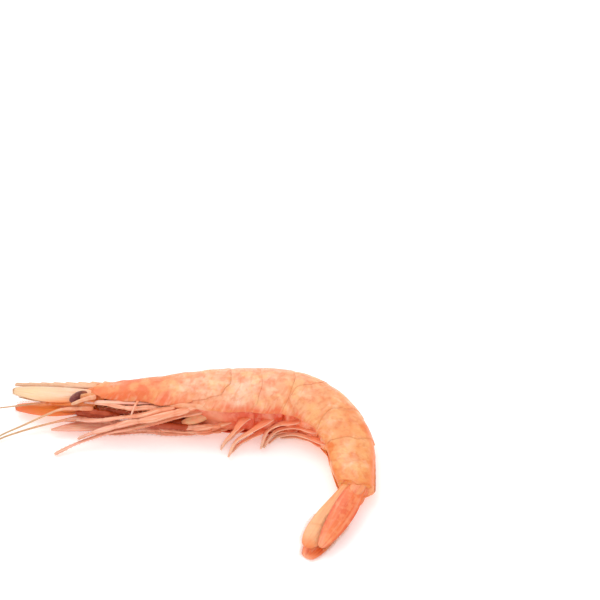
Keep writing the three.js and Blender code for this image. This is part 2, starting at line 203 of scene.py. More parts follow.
sky = bpy.data.worlds.new("sky")
sky.use_nodes = True
sky.node_tree.nodes["Background"].inputs["Color"].default_value = (1.0, 1.0, 1.0, 1.0)
sky.node_tree.nodes["Background"].inputs["Strength"].default_value = SKY
bpy.context.scene.world = sky
panel("panel_above", PANEL_PLACE, PANEL_POWER, PANEL_SIDE)
bpy.context.scene.view_settings.view_transform = "Standard"
print("sky", SKY, "and a panel of", PANEL_POWER, "W")

# %% [markdown]
# ## The body line
# All of the shell follows one line, from the eye sockets to the end of the tail fan. A station is a
# distance along it in millimetres, zero where the head shell meets the tail, negative in the head.
# The line is summed once in small steps, and every piece then looks up its place on it. The sizes
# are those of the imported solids, but smoothed, so that no straight stretch shows.

# %% Body line
STRETCHES = (  # name, length, heading in degrees, and the shares between which the heading holds
    ("carapace", 36.0, -2, 0.0, 1.0),
    ("segment_1", 8.2, 1, 0.5, 0.5),
    ("segment_2", 7.6, -1, 0.5, 0.5),
    ("segment_3", 8.6, -16, 0.5, 0.5),
    ("segment_4", 9.4, -42, 0.5, 0.5),
    ("segment_5", 6.4, -64, 0.5, 0.5),
    ("segment_6", 13.7, -86, 0.3, 0.85),
    ("tail_fan", 26.0, -119, 0.12, 1.0),
)
SECTIONS = np.array((  # station, then out to the back, the belly and each side, and the height
    (-36.0, 4.4, 3.2, 3.6, 5.6),
    (-28.0, 5.0, 3.9, 5.0, 6.1),
    (-18.0, 5.9, 4.9, 6.2, 6.5),
    (-11.0, 7.3, 6.2, 7.0, 6.7),
    (-4.0, 8.5, 7.8, 7.3, 6.9),
    (0.0, 9.0, 8.5, 7.4, 7.0),
    (12.0, 9.3, 8.6, 7.3, 6.9),
    (20.0, 9.0, 8.2, 6.9, 6.5),
    (29.0, 7.9, 7.2, 6.0, 5.6),
    (37.0, 6.6, 6.7, 5.0, 4.7),
    (45.0, 5.6, 6.4, 4.4, 4.1),
    (54.0, 4.4, 4.7, 3.6, 3.5),
    (80.0, 3.0, 3.0, 2.0, 1.9),
))
STEP = 0.05  # mm between the entries of the tables
SMOOTHING = 5.0  # mm
STATIONS = np.arange(-45.0, 84.0, STEP)


def smoothed(values, width):
    """The running mean of a table over a width in mm, with its ends held."""
    window = np.hanning(int(width / STEP) | 1)
    pad = len(window) // 2
    return np.convolve(np.pad(values, pad, mode="edge"), window / window.sum(), "valid")


def sum_line():
    """Heading, X and Y of the body line at every entry of STATIONS."""
    knots, headings, reached = [], [], -STRETCHES[0][1]
    for _, length, heading, first, last in STRETCHES:
        knots += [reached + first * length, reached + last * length]
        headings += [heading, heading]
        reached += length
    heading = np.radians(np.interp(STATIONS, knots, headings))
    x = np.cumsum(np.cos(heading)) * STEP
    y = np.cumsum(np.sin(heading)) * STEP
    zero = np.searchsorted(STATIONS, 0.0)
    return heading, x - x[zero], y - y[zero]


HEADING, LINE_X, LINE_Y = sum_line()
SIZES = {
    name: smoothed(np.interp(STATIONS, SECTIONS[:, 0], SECTIONS[:, column]), SMOOTHING)
    for column, name in enumerate(("back", "belly", "side", "height"), 1)
}
EYE_LEFT = (-40.4, -1.2, 9.3)
low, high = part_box("eye_left")
SHIFT = np.array((low + high) / 2) / MM - EYE_LEFT
print("body line starts", SHIFT.round(2), "mm from the origin of the frame")


# %% Places on the body
UP = np.array((0.0, 0.0, 1.0))
ON_TABLE = 0.02  # mm; nothing goes lower


def size_at(name, station):
    """One of the body's sizes at a station."""
    return np.interp(station, STATIONS, SIZES[name])


def to_back(station):
    """The level direction from the body line to the back."""
    heading = np.interp(station, STATIONS, HEADING)
    return np.stack([-np.sin(heading), np.cos(heading), np.zeros_like(heading)], -1)


def beside(station, out, height):
    """A place beside the body line, out towards the belly, at a height above the table."""
    x, y = np.interp(station, STATIONS, LINE_X), np.interp(station, STATIONS, LINE_Y)
    middle = np.stack([x, y, np.broadcast_to(height, np.shape(x))], -1)
    return middle - to_back(station) * np.expand_dims(out, -1)


def squared(value):
    """Squares off the belly half of a section."""
    return np.sign(value) * np.abs(value) ** 0.75


def skin(station, turn, proud, flap=0.0):
    """The body's surface. turn runs from the back, 0, over the left side to the belly, pi."""
    station, turn, proud, flap = np.broadcast_arrays(station, turn, proud, flap)
    cos, sin = np.cos(turn), np.sin(turn)
    back, belly, side = (size_at(name, station) + proud for name in ("back", "belly", "side"))
    out = -back * np.maximum(cos, 0) - belly * squared(np.minimum(cos, 0)) + flap
    rise = side * np.where(cos > 0, sin, squared(sin))
    return beside(station, out, np.maximum(size_at("height", station) + rise, ON_TABLE))


def eased(where, *knots):
    """A smooth curve through (place, value) knots, level at each of them."""
    places, values = np.array(knots, float).T
    i = np.clip(np.searchsorted(places, where) - 1, 0, len(places) - 2)
    t = np.clip((where - places[i]) / (places[i + 1] - places[i]), 0, 1)
    return values[i] + (values[i + 1] - values[i]) * t * t * (3 - 2 * t)


def bump(where, middle, width):
    """A rounded hump of height 1."""
    return np.exp(-(((where - middle) / width) ** 2))


def ripple(points, wavelength, seed):
    """Smooth random unevenness of about -1 to 1, with hollows and humps of a size in mm."""
    rng = np.random.default_rng(seed)
    waves = rng.normal(size=(14, 3))
    wave_numbers = (2 * np.pi / wavelength) * rng.uniform(0.6, 1.4, (14, 1))
    waves *= wave_numbers / np.linalg.norm(waves, axis=1)[:, None]
    return np.cos(np.asarray(points) @ waves.T + rng.uniform(0, 2 * np.pi, 14)).sum(-1) / math.sqrt(14)


depth_there = float(size_at("back", 10.0) + size_at("belly", 10.0))
print("depth of the body at station 10:", round(depth_there, 1), "mm")

# %% [markdown]
# ## From grids to meshes
# Shells, limbs, blades and hairs are all grids of points: rows along the piece, columns round it.
# A part joins such a grid into faces and closes its ends, and a piece gathers parts into one mesh.
# Each point also keeps a few numbers, such as how far along it lies or how much pigment it has,
# which the materials read back as attributes to place their colours.

# %% Parts
MARKS = ("along", "across", "rim", "tone", "milk")


def part(grid, finish=0, **marks):
    """Points and faces of rings of points, closed at both ends. Marks are numbers for each point."""
    rows, columns = grid.shape[:2]
    row, column = np.meshgrid(np.arange(rows - 1), np.arange(columns), indexing="ij")
    a, b = row * columns + column, row * columns + (column + 1) % columns
    faces = np.stack([a, b, b + columns, a + columns], -1).reshape(-1, 4).tolist()
    count = rows * columns
    for k in range(columns):
        after = (k + 1) % columns
        faces.append((count, after, k))
        faces.append((count + 1, count - columns + k, count - columns + after))
    points = np.vstack([grid.reshape(-1, 3), grid[0].mean(0), grid[-1].mean(0)])
    values = {}
    for name in MARKS:
        value = np.broadcast_to(marks.get(name, 0.0), (rows, columns))
        values[name] = np.concatenate([value.ravel(), [value[0].mean(), value[-1].mean()]])
    return {"points": points, "faces": faces, "finish": np.broadcast_to(finish, len(faces)), **values}


print("marks kept at each point:", MARKS)


# %% Pieces
def piece(name, parts, materials, slot, *replaced):
    """One object from its parts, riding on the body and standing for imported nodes."""
    faces, start = [], 0
    for made in parts:
        faces += [[start + i for i in face] for face in made["faces"]]
        start += len(made["points"])
    points = (np.vstack([made["points"] for made in parts]) + SHIFT) * MM
    mesh = bpy.data.meshes.new(name)
    mesh.from_pydata(points.tolist(), [], faces)
    for material in materials:
        mesh.materials.append(material)
    finishes = np.concatenate([made["finish"] for made in parts]).astype(np.int32)
    mesh.polygons.foreach_set("material_index", finishes)
    for number in MARKS:
        values = np.concatenate([made[number] for made in parts]).astype(np.float32)
        mesh.attributes.new(number, "FLOAT", "POINT").data.foreach_set("value", values)
    shape = bmesh.new()
    shape.from_mesh(mesh)
    bmesh.ops.recalc_face_normals(shape, faces=shape.faces)
    shape.to_mesh(mesh)
    shape.free()
    mesh.shade_smooth()
    made = bpy.data.objects.new(name, mesh)
    bpy.context.scene.collection.objects.link(made)
    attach(made, "root")
    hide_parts(*replaced)
    print(name, len(mesh.polygons), "faces")
    return made


print("pieces will stand for", len(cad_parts), "packed nodes")

# %% [markdown]
# ## Building blocks of the finishes
# All finishes of a shrimp are one idea: a pale ground, with pigment laid over it in clouds, streaks
# and edges. So a few blocks serve them all. A mark reads one of the numbers kept on the mesh, clouds
# and streaks make patterns whose size is given in millimetres, and a stain lays a colour over the
# ground where such amounts say. The properties that are even all over are set on the shader itself.
# Light scatters far less here than it would in thick flesh. Where a piece is thin, red light leaves
# through its edges, and what is left there looks olive. Little scatter keeps the edges warm.

# %% Start of a finish
SCATTER = (1.0, 0.42, 0.22)  # how much farther red light travels in flesh than green and blue
CHITIN_IOR = 1.55
WATER_FILM_IOR = 1.36  # cooking liquid with a little fat
FILM_ROUGHNESS = 0.25


def start_finish(name, roughness, scatter_mm, film, scatter, ior=CHITIN_IOR):
    """A material with its even properties set: gloss, light scattered below, and a wet film."""
    made = bpy.data.materials.new(name)
    made.use_nodes = True
    shader = made.node_tree.nodes["Principled BSDF"]
    values = {
        "Roughness": roughness,
        "IOR": ior,
        "Subsurface Weight": scatter,
        "Subsurface Radius": SCATTER,
        "Subsurface Scale": scatter_mm * MM,
        "Coat Weight": film,
        "Coat Roughness": FILM_ROUGHNESS,
        "Coat IOR": WATER_FILM_IOR,
    }
    for key, value in values.items():
        shader.inputs[key].default_value = value
    return made, made.node_tree, shader


print("red light scatters", round(SCATTER[0] / SCATTER[2], 1), "times as far as blue")


# %% Marks and clouds
def mark(tree, name, low, high):
    """A number kept on the mesh, scaled so that low becomes 0 and high 1."""
    value = add(tree, "Attribute", out=2, attribute_name=name)
    return add(tree, "MapRange", Value=value, From_Min=low, From_Max=high)


def clouds(tree, size_mm, low, high, detail=3.0):
    """Cloudy patches of a size in mm: 0 where the noise is under low, 1 where it is over high."""
    place = add(tree, "TexCoord", out=3)
    noise = add(tree, "TexNoise", Vector=place, Scale=1 / (size_mm * MM), Detail=detail)
    return add(tree, "MapRange", Value=noise, From_Min=low, From_Max=high)


def wandering(tree, name, low, high, size_mm, reach):
    """A mark whose contours wander by up to a reach, so that no colour ends on a ruled line."""
    cloud = clouds(tree, size_mm, 0.0, 1.0)
    steady = mark(tree, name, low + reach, high + reach)
    return add(tree, "Math", operation="MULTIPLY_ADD", i0=cloud, i1=2 * reach / (high - low), i2=steady)


print("marks and clouds place the colours")


# %% Streaks and stains
def streaks(tree, across_count, along_count, low, high):
    """Streaks that run the length of a limb or blade, so many across it and along it."""
    across = add(tree, "Attribute", out=2, attribute_name="across")
    along = add(tree, "Attribute", out=2, attribute_name="along")
    tone = add(tree, "Attribute", out=2, attribute_name="tone")
    place = add(tree, "CombineXYZ", i0=across, i1=along, i2=tone)
    scaled = add(tree, "Mapping", Vector=place, Scale=(across_count, along_count, 9.0))
    noise = add(tree, "TexNoise", Vector=scaled, Scale=1.0, Detail=3.0)
    return add(tree, "MapRange", Value=noise, From_Min=low, From_Max=high)


def stain(tree, ground, colour, strength, *where):
    """Lays a colour over the ground, as strongly as the product of the amounts."""
    amount = strength
    for place in where:
        amount = add(tree, "Math", operation="MULTIPLY", i0=amount, i1=place)
    return add(tree, "Mix", out=2, data_type="RGBA", i0=amount, i6=ground, i7=colour)


print("stains are laid over a pale ground")

# %% [markdown]
# ## Cooked shell
# The shell is chitin, hardened with chalk: a horn-like skin under half a millimetre thick, grown in
# place. Cooking frees its pigment and turns it from glass-grey to orange. Light goes in, scatters in
# shell and flesh, and comes out warm and soft under a thin wet film. The pigment is thick over the
# front of the head, along the keel and at the flaps, and thin on the big segments, where milky flesh
# shows through. The tone and milk marks say how much of each a point has.

# %% Pigment places
PIGMENT = (  # station, degrees round from the back, reach in mm and in degrees, amount
    (-34.0, 60, 15.0, 160, 1.00),  # front of the head
    (-21.0, 125, 9.0, 45, 0.85),  # lower flank of the head
    (-18.0, 10, 12.0, 40, 0.60),  # along the keel of the head
    (0.6, 150, 9.0, 24, 0.75),  # flap below the end of the head shell
    (10.6, 30, 1.4, 30, 0.45),  # the first hinge, at the back
    (18.2, 34, 1.2, 30, 0.65),  # the bend, at the back
    (9.5, 160, 4.0, 20, 0.95),  # flaps before the bend
    (16.5, 154, 4.5, 22, 1.00),
    (24.0, 156, 4.0, 20, 0.90),
    (31.0, 158, 4.0, 14, 0.50),
    (38.8, 30, 2.6, 34, 0.95),  # end of the fifth segment's back
    (41.0, 148, 1.8, 18, 0.95),  # the last hinge, below
    (48.0, 12, 9.0, 36, 1.00),  # keel of the last segment
    (50.0, 168, 11.0, 36, 0.85),  # its lower edge
    (54.0, 90, 1.0, 110, 0.60),  # its rear edge
)
MILK = (  # the same for milky flesh
    (-30.5, 74, 2.4, 16, 0.60),
    (-9.5, 104, 6.0, 24, 0.60),
    (-4.0, 84, 4.5, 26, 0.35),
    (4.5, 100, 3.6, 30, 0.65),
    (2.5, 126, 2.2, 14, 0.80),
    (12.0, 70, 2.6, 26, 0.40),
    (12.0, 102, 1.4, 14, 0.55),
    (22.0, 88, 3.4, 26, 0.30),
    (33.5, 112, 2.0, 22, 0.40),
    (46.0, 100, 5.0, 26, 0.45),
)


def gathered(rows, station, degrees):
    """How much of something a point has, from places with a reach each."""
    total = 0.0
    for where, turned, reach, spread, amount in rows:
        total = total + amount * bump(station, where, reach) * bump(np.abs(degrees), turned, spread)
    return np.clip(total, 0, 1)


print("pigment on the keel of the last segment:", round(float(gathered(PIGMENT, 48.0, 0.0)), 2))

# %% Colours of the shell
BODY = (-38.0, 56.0)  # stations over which the ground colours run
PALE_GROUND = (  # along the body, from the eye sockets to the tail
    (0.00, "#ef9c50"),
    (0.06, "#ec9452"),
    (0.24, "#ec985c"),
    (0.36, "#f1b082"),
    (0.44, "#f2b88c"),
    (0.60, "#f1b27f"),
    (0.74, "#f1ab70"),
    (0.88, "#f2ac68"),
    (1.00, "#ee9c50"),
)
DEEP_GROUND = (
    (0.00, "#ef8a38"),
    (0.06, "#ea6c2a"),
    (0.20, "#e86e34"),
    (0.36, "#ea7840"),
    (0.50, "#e8683a"),
    (0.66, "#ec7c42"),
    (0.80, "#ea761e"),
    (1.00, "#e6721c"),
)
SPECK_SPACING = 0.9  # mm between pigment cells
SLANT = 7.0  # mm that a streak leans along the body on its way round


def round_streaks(tree, round_count, per_mm, low, high):
    """Fine streaks that run round the body, leaning a little."""
    across = add(tree, "Attribute", out=2, attribute_name="across")
    along = add(tree, "Attribute", out=2, attribute_name="along")
    leaning = add(tree, "Math", operation="MULTIPLY_ADD", i0=across, i1=SLANT, i2=along)
    place = add(tree, "CombineXYZ", i0=across, i1=leaning)
    scaled = add(tree, "Mapping", Vector=place, Scale=(round_count, per_mm, 1.0))
    noise = add(tree, "TexNoise", Vector=scaled, Scale=1.0, Detail=5.0, Distortion=0.5)
    return add(tree, "MapRange", Value=noise, From_Min=low, From_Max=high)


def pigmented(tree):
    """The ground and its pigment, milky patches, streaks, specks, rims and keel."""
    station = wandering(tree, "along", *BODY, 6.0, 4.0)
    pale = add(tree, "ValToRGB", Fac=station, stops=PALE_GROUND)
    deep = add(tree, "ValToRGB", Fac=station, stops=DEEP_GROUND)
    tone = wandering(tree, "tone", 0.0, 1.0, 2.4, 0.45)
    laid = add(tree, "MapRange", Value=tone, From_Min=0.20, From_Max=0.80)
    colour = add(tree, "Mix", out=2, data_type="RGBA", i0=laid, i6=pale, i7=deep)
    milky = mark(tree, "milk", 0.0, 0.9)
    colour = stain(tree, colour, "#f6d2b2", 0.75, milky, clouds(tree, 3.4, 0.36, 0.60, 4.0))
    colour = stain(tree, colour, "#f6c3b0", 0.40, milky, clouds(tree, 1.1, 0.46, 0.62, 4.0))
    bare = mark(tree, "tone", 1.0, 0.4)
    colour = stain(tree, colour, "#e67c42", 0.37, clouds(tree, 2.4, 0.52, 0.66, 7.0))
    colour = stain(tree, colour, "#f5be78", 0.43, clouds(tree, 4.0, 0.50, 0.62, 5.0))
    colour = stain(tree, colour, "#f0a78a", 0.30, bare, clouds(tree, 2.8, 0.54, 0.68, 5.0))
    colour = stain(tree, colour, "#e06e34", 0.25, clouds(tree, 1.2, 0.56, 0.68, 8.0))
    colour = stain(tree, colour, "#fbdab4", 0.35, bare, clouds(tree, 3.0, 0.55, 0.67, 8.0))
    colour = stain(tree, colour, "#dc6f36", 0.40, round_streaks(tree, 7.0, 0.7, 0.55, 0.66))
    low_down = mark(tree, "across", 0.72, 0.92)
    before_last = mark(tree, "along", 42.0, 36.0)
    flaps = add(tree, "Math", operation="MULTIPLY", i0=low_down, i1=before_last)
    reddened = mark(tree, "tone", 0.1, 0.6)
    red_streaks = round_streaks(tree, 4.0, 0.6, 0.42, 0.62)
    colour = stain(tree, colour, "#ec6434", 0.65, flaps, reddened, red_streaks)
    colour = stain(tree, colour, "#fbbd98", 0.45, flaps, round_streaks(tree, 5.0, 0.9, 0.50, 0.66))
    cells = add(tree, "TexVoronoi", Scale=1 / (SPECK_SPACING * MM))
    specks = add(tree, "MapRange", Value=cells, From_Min=0.26, From_Max=0.12)
    colour = stain(tree, colour, "#d9642f", 0.20, specks)
    near_rim, on_rim = mark(tree, "rim", 0.05, 0.5), mark(tree, "rim", 0.80, 1.0)
    colour = stain(tree, colour, "#e8803c", 0.55, near_rim, clouds(tree, 1.4, 0.44, 0.58, 5.0))
    colour = stain(tree, colour, "#d8743e", 0.25, on_rim, clouds(tree, 1.6, 0.40, 0.60))
    on_keel = mark(tree, "along", 35.0, 40.0)
    colour = stain(tree, colour, "#f07c30", 0.60, on_keel, mark(tree, "across", 0.30, 0.20))
    return stain(tree, colour, "#a4582a", 0.70, on_keel, mark(tree, "across", 0.040, 0.012))


def cooked_shell():
    """Cooked shrimp shell: smooth, softly wavy horn with a satin sheen under a wet film."""
    made, tree, shader = start_finish("cooked_shell", 0.42, 0.3, 0.22, scatter=0.10)
    tree.links.new(pigmented(tree), shader.inputs["Base Color"])
    pores = add(tree, "Bump", Height=clouds(tree, 0.5, 0.0, 1.0), Distance=0.05 * MM)
    waves = add(tree, "Bump", Height=clouds(tree, 2.2, 0.0, 1.0), Distance=0.14 * MM, Normal=pores)
    tree.links.new(waves, shader.inputs["Normal"])
    gloss = add(tree, "MapRange", Value=clouds(tree, 1.6, 0.3, 0.7), To_Min=0.36, To_Max=0.54)
    tree.links.new(gloss, shader.inputs["Roughness"])
    return made


SHELL = cooked_shell()
print("material:", SHELL.name)

# %% [markdown]
# ## Belly skin
# Between the flaps the belly has no hard shell, only thin skin that bends with the tail, drawn into
# folds and stretched over red-orange flesh. It is smoother than the shell and scatters more light.


# %% Belly skin
BELLY_GROUND = (  # along the body, as for the shell
    (0.00, "#d0562c"),
    (0.40, "#e4623a"),
    (0.55, "#e04c24"),
    (0.66, "#f6804c"),
    (0.74, "#fc9e6a"),
    (0.86, "#f8a458"),
    (0.96, "#f6a654"),
    (1.00, "#f2864a"),
)


def belly_skin():
    """Thin cooked skin: smooth and wet, red in the folds, orange towards the tail."""
    made, tree, shader = start_finish("belly_skin", 0.36, 0.8, 0.2, ior=1.42, scatter=0.3)
    station = wandering(tree, "along", *BODY, 4.0, 4.0)
    colour = add(tree, "ValToRGB", Fac=station, stops=BELLY_GROUND)
    colour = stain(tree, colour, "#f8a684", 0.38, clouds(tree, 2.0, 0.48, 0.62, 5.0))
    colour = stain(tree, colour, "#d8451f", 0.60, clouds(tree, 1.4, 0.46, 0.34, 4.0))
    colour = stain(tree, colour, "#f1ab86", 0.5, mark(tree, "rim", 0.0, 1.0))
    tree.links.new(colour, shader.inputs["Base Color"])
    wrinkles = add(tree, "Bump", Height=clouds(tree, 0.8, 0.0, 1.0), Distance=0.12 * MM)
    tree.links.new(wrinkles, shader.inputs["Normal"])
    return made


BELLY = belly_skin()
print("material:", BELLY.name)

# %% [markdown]
# ## Edges of the shells
# Each shell is a stiff saddle over the back that ends in a flap on each side of the soft belly. The
# edges aren't square to the body: the rear edge of the head shell sweeps forward below, and the
# third segment is a wedge that narrows down the side, because it sits on the bend. So each edge has
# a station at the back and a few knots that say how far it leads or trails at which angle.

# %% Edges
EDGES = {  # station at the back, then (degrees round from the back, mm ahead of or behind that)
    "head": (-36.6, (0, -0.6), (30, 0.9), (52, 1.6), (80, 0.0), (104, -0.3), (128, 2.2), (150, 6.0)),
    "carapace": (0.0, (0, 0.2), (90, 1.4), (103, -0.3), (113, -0.9), (124, -4.6), (133, -8.9), (150, -14.0)),
    "segment_1": (8.2, (0, 0.0), (92, 1.6), (121, 0.6), (150, -0.6)),
    "segment_2": (15.8, (0, 0.0), (82, 2.4), (108, 2.2), (150, 0.8)),
    "segment_3": (24.4, (0, 0.0), (48, -0.5), (70, -1.9), (96, -5.6), (112, -6.2), (150, -3.2)),
    "segment_4": (33.8, (0, 0.0), (60, -0.9), (78, -2.0), (96, -3.2), (119, -3.0), (150, -1.8)),
    "segment_5": (40.2, (0, 0.0), (60, 1.0), (76, 1.2), (101, -0.2), (150, -1.4)),
    "segment_6": (53.9, (0, 0.6), (30, -0.2), (60, 0.3), (82, 0.9), (102, 0.1), (139, -0.5)),
}


def edge(name, turn, tooth=0.0):
    """The station of a shell's edge, all the way round."""
    base, *knots = EDGES[name]
    degrees = np.abs(np.degrees(turn))
    return base + eased(degrees, *knots) + tooth * bump(degrees, 0.0, 5.0)


print("the head shell's lower rear corner lies", round(float(edge("carapace", 2.6)), 1), "mm from its back")

# %% [markdown]
# ## Rows and columns of a shell
# The rear edge of a shell stands a hair's breadth out over the front of the next, which slides in
# under it when the tail bends. The rows follow that: a hidden front, the open surface, the thickness
# of the edge, and a step back in under it. The columns go from one flap over the back to the other,
# round their edges, and home over the belly, so that every shell is one closed solid.

# %% Rows and columns
LIP = 0.04  # mm that a rear edge stands out; the next five are in mm too
TUCK = 0.02  # how far a front lies below the line
RIM = 0.09  # thickness of the shell at its edge
PAST_EDGE = (  # depth and shift of the flesh past the edge
    (RIM, 0.0),
    (0.5, 0.2),
    (0.9, 0.8),
    (1.7, 1.3),
    (3.2, 1.6),
)
UNDER = 1.1  # how far a shell reaches in under the one in front of it
FOLD = 0.50  # height of the fold across the belly skin of a segment
SIDE_COLUMNS, WALL_COLUMNS, BELLY_COLUMNS = 64, 7, 16  # on each side
OUTER, WALL, UNDERSIDE = 0, 1, 2  # kinds of column


def shell_rows(length):
    """Share of the length, depth below the surface and shift in mm of every row."""
    rows = [(0.0, 2.6, 0.0), (0.0, 0.8, 0.0)]
    rows += [(share, 0.0, 0.0) for share in np.linspace(0.0, 1.0, max(28, int(length / 0.3)))]
    rows += [(1.0, *step) for step in PAST_EDGE]
    return np.array(rows).T[:, :, None]


def shell_columns(margin, wall, belly_inset):
    """Way round, inset and kind of each column. The wall is the flap's inner side."""
    crowded = np.sin(np.linspace(-1, 1, 2 * SIDE_COLUMNS + 1) * np.pi / 2 * 0.86)
    outer = margin * crowded / crowded[-1]
    inner = margin * np.linspace(1.0, wall, WALL_COLUMNS)
    below = np.linspace(min(margin * wall + 0.10, 3.0), np.pi, BELLY_COLUMNS)
    turn = np.concatenate([outer, inner, below, (2 * np.pi - below[:-1])[::-1], -inner[::-1]])
    thick = np.linspace(RIM, 0.9, WALL_COLUMNS)
    under = np.linspace(belly_inset, belly_inset * 0.9, BELLY_COLUMNS)
    inset = np.concatenate([0 * outer, thick, under, under[:-1][::-1], thick[::-1]])
    counts = [len(outer), WALL_COLUMNS, 2 * BELLY_COLUMNS - 1, WALL_COLUMNS]
    kind = np.repeat([OUTER, WALL, UNDERSIDE, WALL], counts)
    return turn, inset, kind


print("columns round a shell:", len(shell_columns(2.6, 0.86, 1.7)[0]))

# %% [markdown]
# ## One shell
# All shells share a function. It places every point on the body's surface, lets the flaps hang and
# the keel stand up, adds the relief of that shell and a slight natural unevenness, and last notes
# where the rims, the pigment and the milky patches are.


# %% Marks of a shell
REAR_RIM = 0.75  # mm that the rim's colour reaches in from the rear edge
LOW_RIM = 0.60  # and from the lower margin


def shell_marks(station, turn, rear, margin, kind):
    """Where the rims, the pigment and the milky patches of a shell are."""
    round_share = np.clip(np.abs(turn) / margin, 0, 1)
    to_rear = np.maximum(rear - station, 0) / REAR_RIM
    to_margin = (1 - round_share) * margin * size_at("side", station) / LOW_RIM
    rim = np.exp(-(np.minimum(to_rear, to_margin) ** 2)) * (kind == OUTER)
    rim = np.maximum(rim, bump(turn, 0, 0.05) * eased(station, (30, 0.0), (38, 1.0)) * (kind == OUTER))
    degrees = np.degrees(np.where(turn > np.pi, 2 * np.pi - turn, turn))
    tone, milk = (gathered(rows, station, degrees) for rows in (PIGMENT, MILK))
    return {"along": station, "across": round_share, "rim": rim, "tone": tone, "milk": milk}


print("rims are drawn within", REAR_RIM, "mm of an edge")


# %% Shell part
def shell_part(
    name, before, margin_degrees, flap, swell, belly_inset, keel=0.0, tooth=0.0, wall=0.90, droop=0.0
):
    """A shell from one edge to the next. swell adds relief in mm from station, turn and share."""
    margin = math.radians(margin_degrees)
    turn, inset, kind = shell_columns(margin, wall, belly_inset)
    front = edge(before, turn) - UNDER * (before != "head")
    rear = np.maximum(edge(name, turn, tooth), front + UNDER + 0.2)
    share, depth, shift = shell_rows(float((rear - front)[0]))
    station = front + share * (rear - front) + shift
    around = np.where(turn > np.pi, 2 * np.pi - turn, np.abs(turn))
    hang = (flap + droop * eased(share, (0.5, 0.0), (0.8, 1.0))) * (kind != UNDERSIDE)
    hang = hang * eased(around, (margin - 0.55, 0.0), (margin, 1.0))
    hanging = hang * np.sin(np.pi * (0.12 + 0.76 * share)) ** 0.8
    proud = -TUCK + (LIP + TUCK) * share**0.6 - depth - inset
    outer = kind == OUTER
    proud = proud + keel * bump(np.degrees(np.abs(turn)), 0, 6) * share * outer
    proud = proud + swell(station, np.abs(turn), share) * outer
    folds = FOLD * bump(share, 0.55, 0.16) - 0.35 * bump(share, 0.2, 0.1)
    proud = proud + folds * (kind == UNDERSIDE)
    place = skin(station, turn, proud, hanging)
    uneven = 0.08 * ripple(place, 7.0, 3) + 0.025 * ripple(place, 2.2, 4)
    grid = skin(station, turn, proud + uneven * (kind != WALL), hanging)
    marks = shell_marks(station, turn, rear, margin, kind)
    marks["rim"] = np.where(kind == UNDERSIDE, folds / FOLD, marks["rim"] * (depth == 0))
    made = part(grid, **marks)
    horn = np.tile(kind == OUTER, (len(share) - 1, 1))
    horn[-len(PAST_EDGE) :] = False
    made["finish"] = np.concatenate([~horn.ravel(), np.ones(2 * len(turn), bool)]).astype(int)
    return made


print("a shell reaches", UNDER, "mm in under the one in front")

# %% [markdown]
# ## Tail segments
# Six shells cover the tail. Across the front of each runs the hinge groove, where the edge of the
# shell before it slides, and the rear edge is a little thickened. From the fourth on a keel rises
# along the back and ends in a small spine.


# %% Segments
def segment_relief(station, turn, share):
    """The hinge groove across the front of a segment, and its thickened rear edge."""
    groove = 0.12 * bump(share, 0.24, 0.05) * eased(turn, (0.0, 0.4), (1.2, 1.0), (2.4, 0.2))
    return 0.06 * bump(share, 0.98, 0.05) - groove


SEGMENT_ROWS = (  # name, edge before, where the flaps end, their length, keel height, and tooth
    ("segment_1", "carapace", 150, 0.8, 0.0, 0.0),
    ("segment_2", "segment_1", 150, 1.1, 0.0, 0.0),
    ("segment_3", "segment_2", 150, 0.9, 0.1, 0.0),
    ("segment_4", "segment_3", 152, 0.8, 0.3, 0.7),
    ("segment_5", "segment_4", 156, 0.6, 0.4, 0.9),
    ("segment_6", "segment_5", 170, 0.2, 0.8, -0.6),
)
for name, before, flaps_end, flap, keel, tooth in SEGMENT_ROWS:
    shell = shell_part(name, before, flaps_end, flap, segment_relief, 0.35, keel, tooth)
    piece(name + "_shell", [shell], [SHELL, BELLY], "shell", name)

# %% [markdown]
# ## Limbs and blades
# The snout, legs, feelers, swimmerets and tail blades are all a flattened ring moved along a smooth
# curve. The half width changes along the curve, and the half thickness also across it, which gives
# ribs, grooves and thin edges. A curve object with a bevel could make a plain tube, but not these.


# %% Curves
def unit(vectors):
    """The same directions, each of length 1."""
    return vectors / np.maximum(np.linalg.norm(vectors, axis=-1, keepdims=True), 1e-9)


def smooth_path(points, spacing):
    """A smooth curve through points, cut into steps of a spacing in mm."""
    points = np.asarray(points, float)
    gaps = np.linalg.norm(np.diff(points, axis=0), axis=1)
    knots = np.concatenate([[0.0], np.cumsum(gaps)])
    slopes = np.gradient(points, knots, axis=0)
    where = np.linspace(0, knots[-1], max(6, int(knots[-1] / spacing)))
    i = np.clip(np.searchsorted(knots, where, side="right") - 1, 0, len(gaps) - 1)
    t, gap = ((where - knots[i]) / gaps[i])[:, None], gaps[i][:, None]
    ahead = t * t * (3 - 2 * t)
    bend = t * (1 - t) ** 2 * slopes[i] - t * t * (1 - t) * slopes[i + 1]
    return points[i] * (1 - ahead) + points[i + 1] * ahead + gap * bend


def directions(path, facing=UP):
    """Ways along, across and out of the flat side at each point of a path."""
    along = unit(np.gradient(path, axis=0))
    across = unit(np.cross(facing, along))
    return along, across, np.cross(along, across)


print("a curve over 20 mm has", len(smooth_path([(0, 0, 0), (10, 0, 0), (20, 1, 0)], 0.25)), "points")


# %% Limbs
def rounded(share, root, tip):
    """Closes the ends of a limb roundly, over shares of its length."""
    at_root = np.clip(1 - share / root, 0, 1)
    at_tip = np.clip((share - 1 + tip) / tip, 0, 1)
    return np.sqrt((1 - 0.99 * at_root**2) * (1 - 0.99 * at_tip**2))


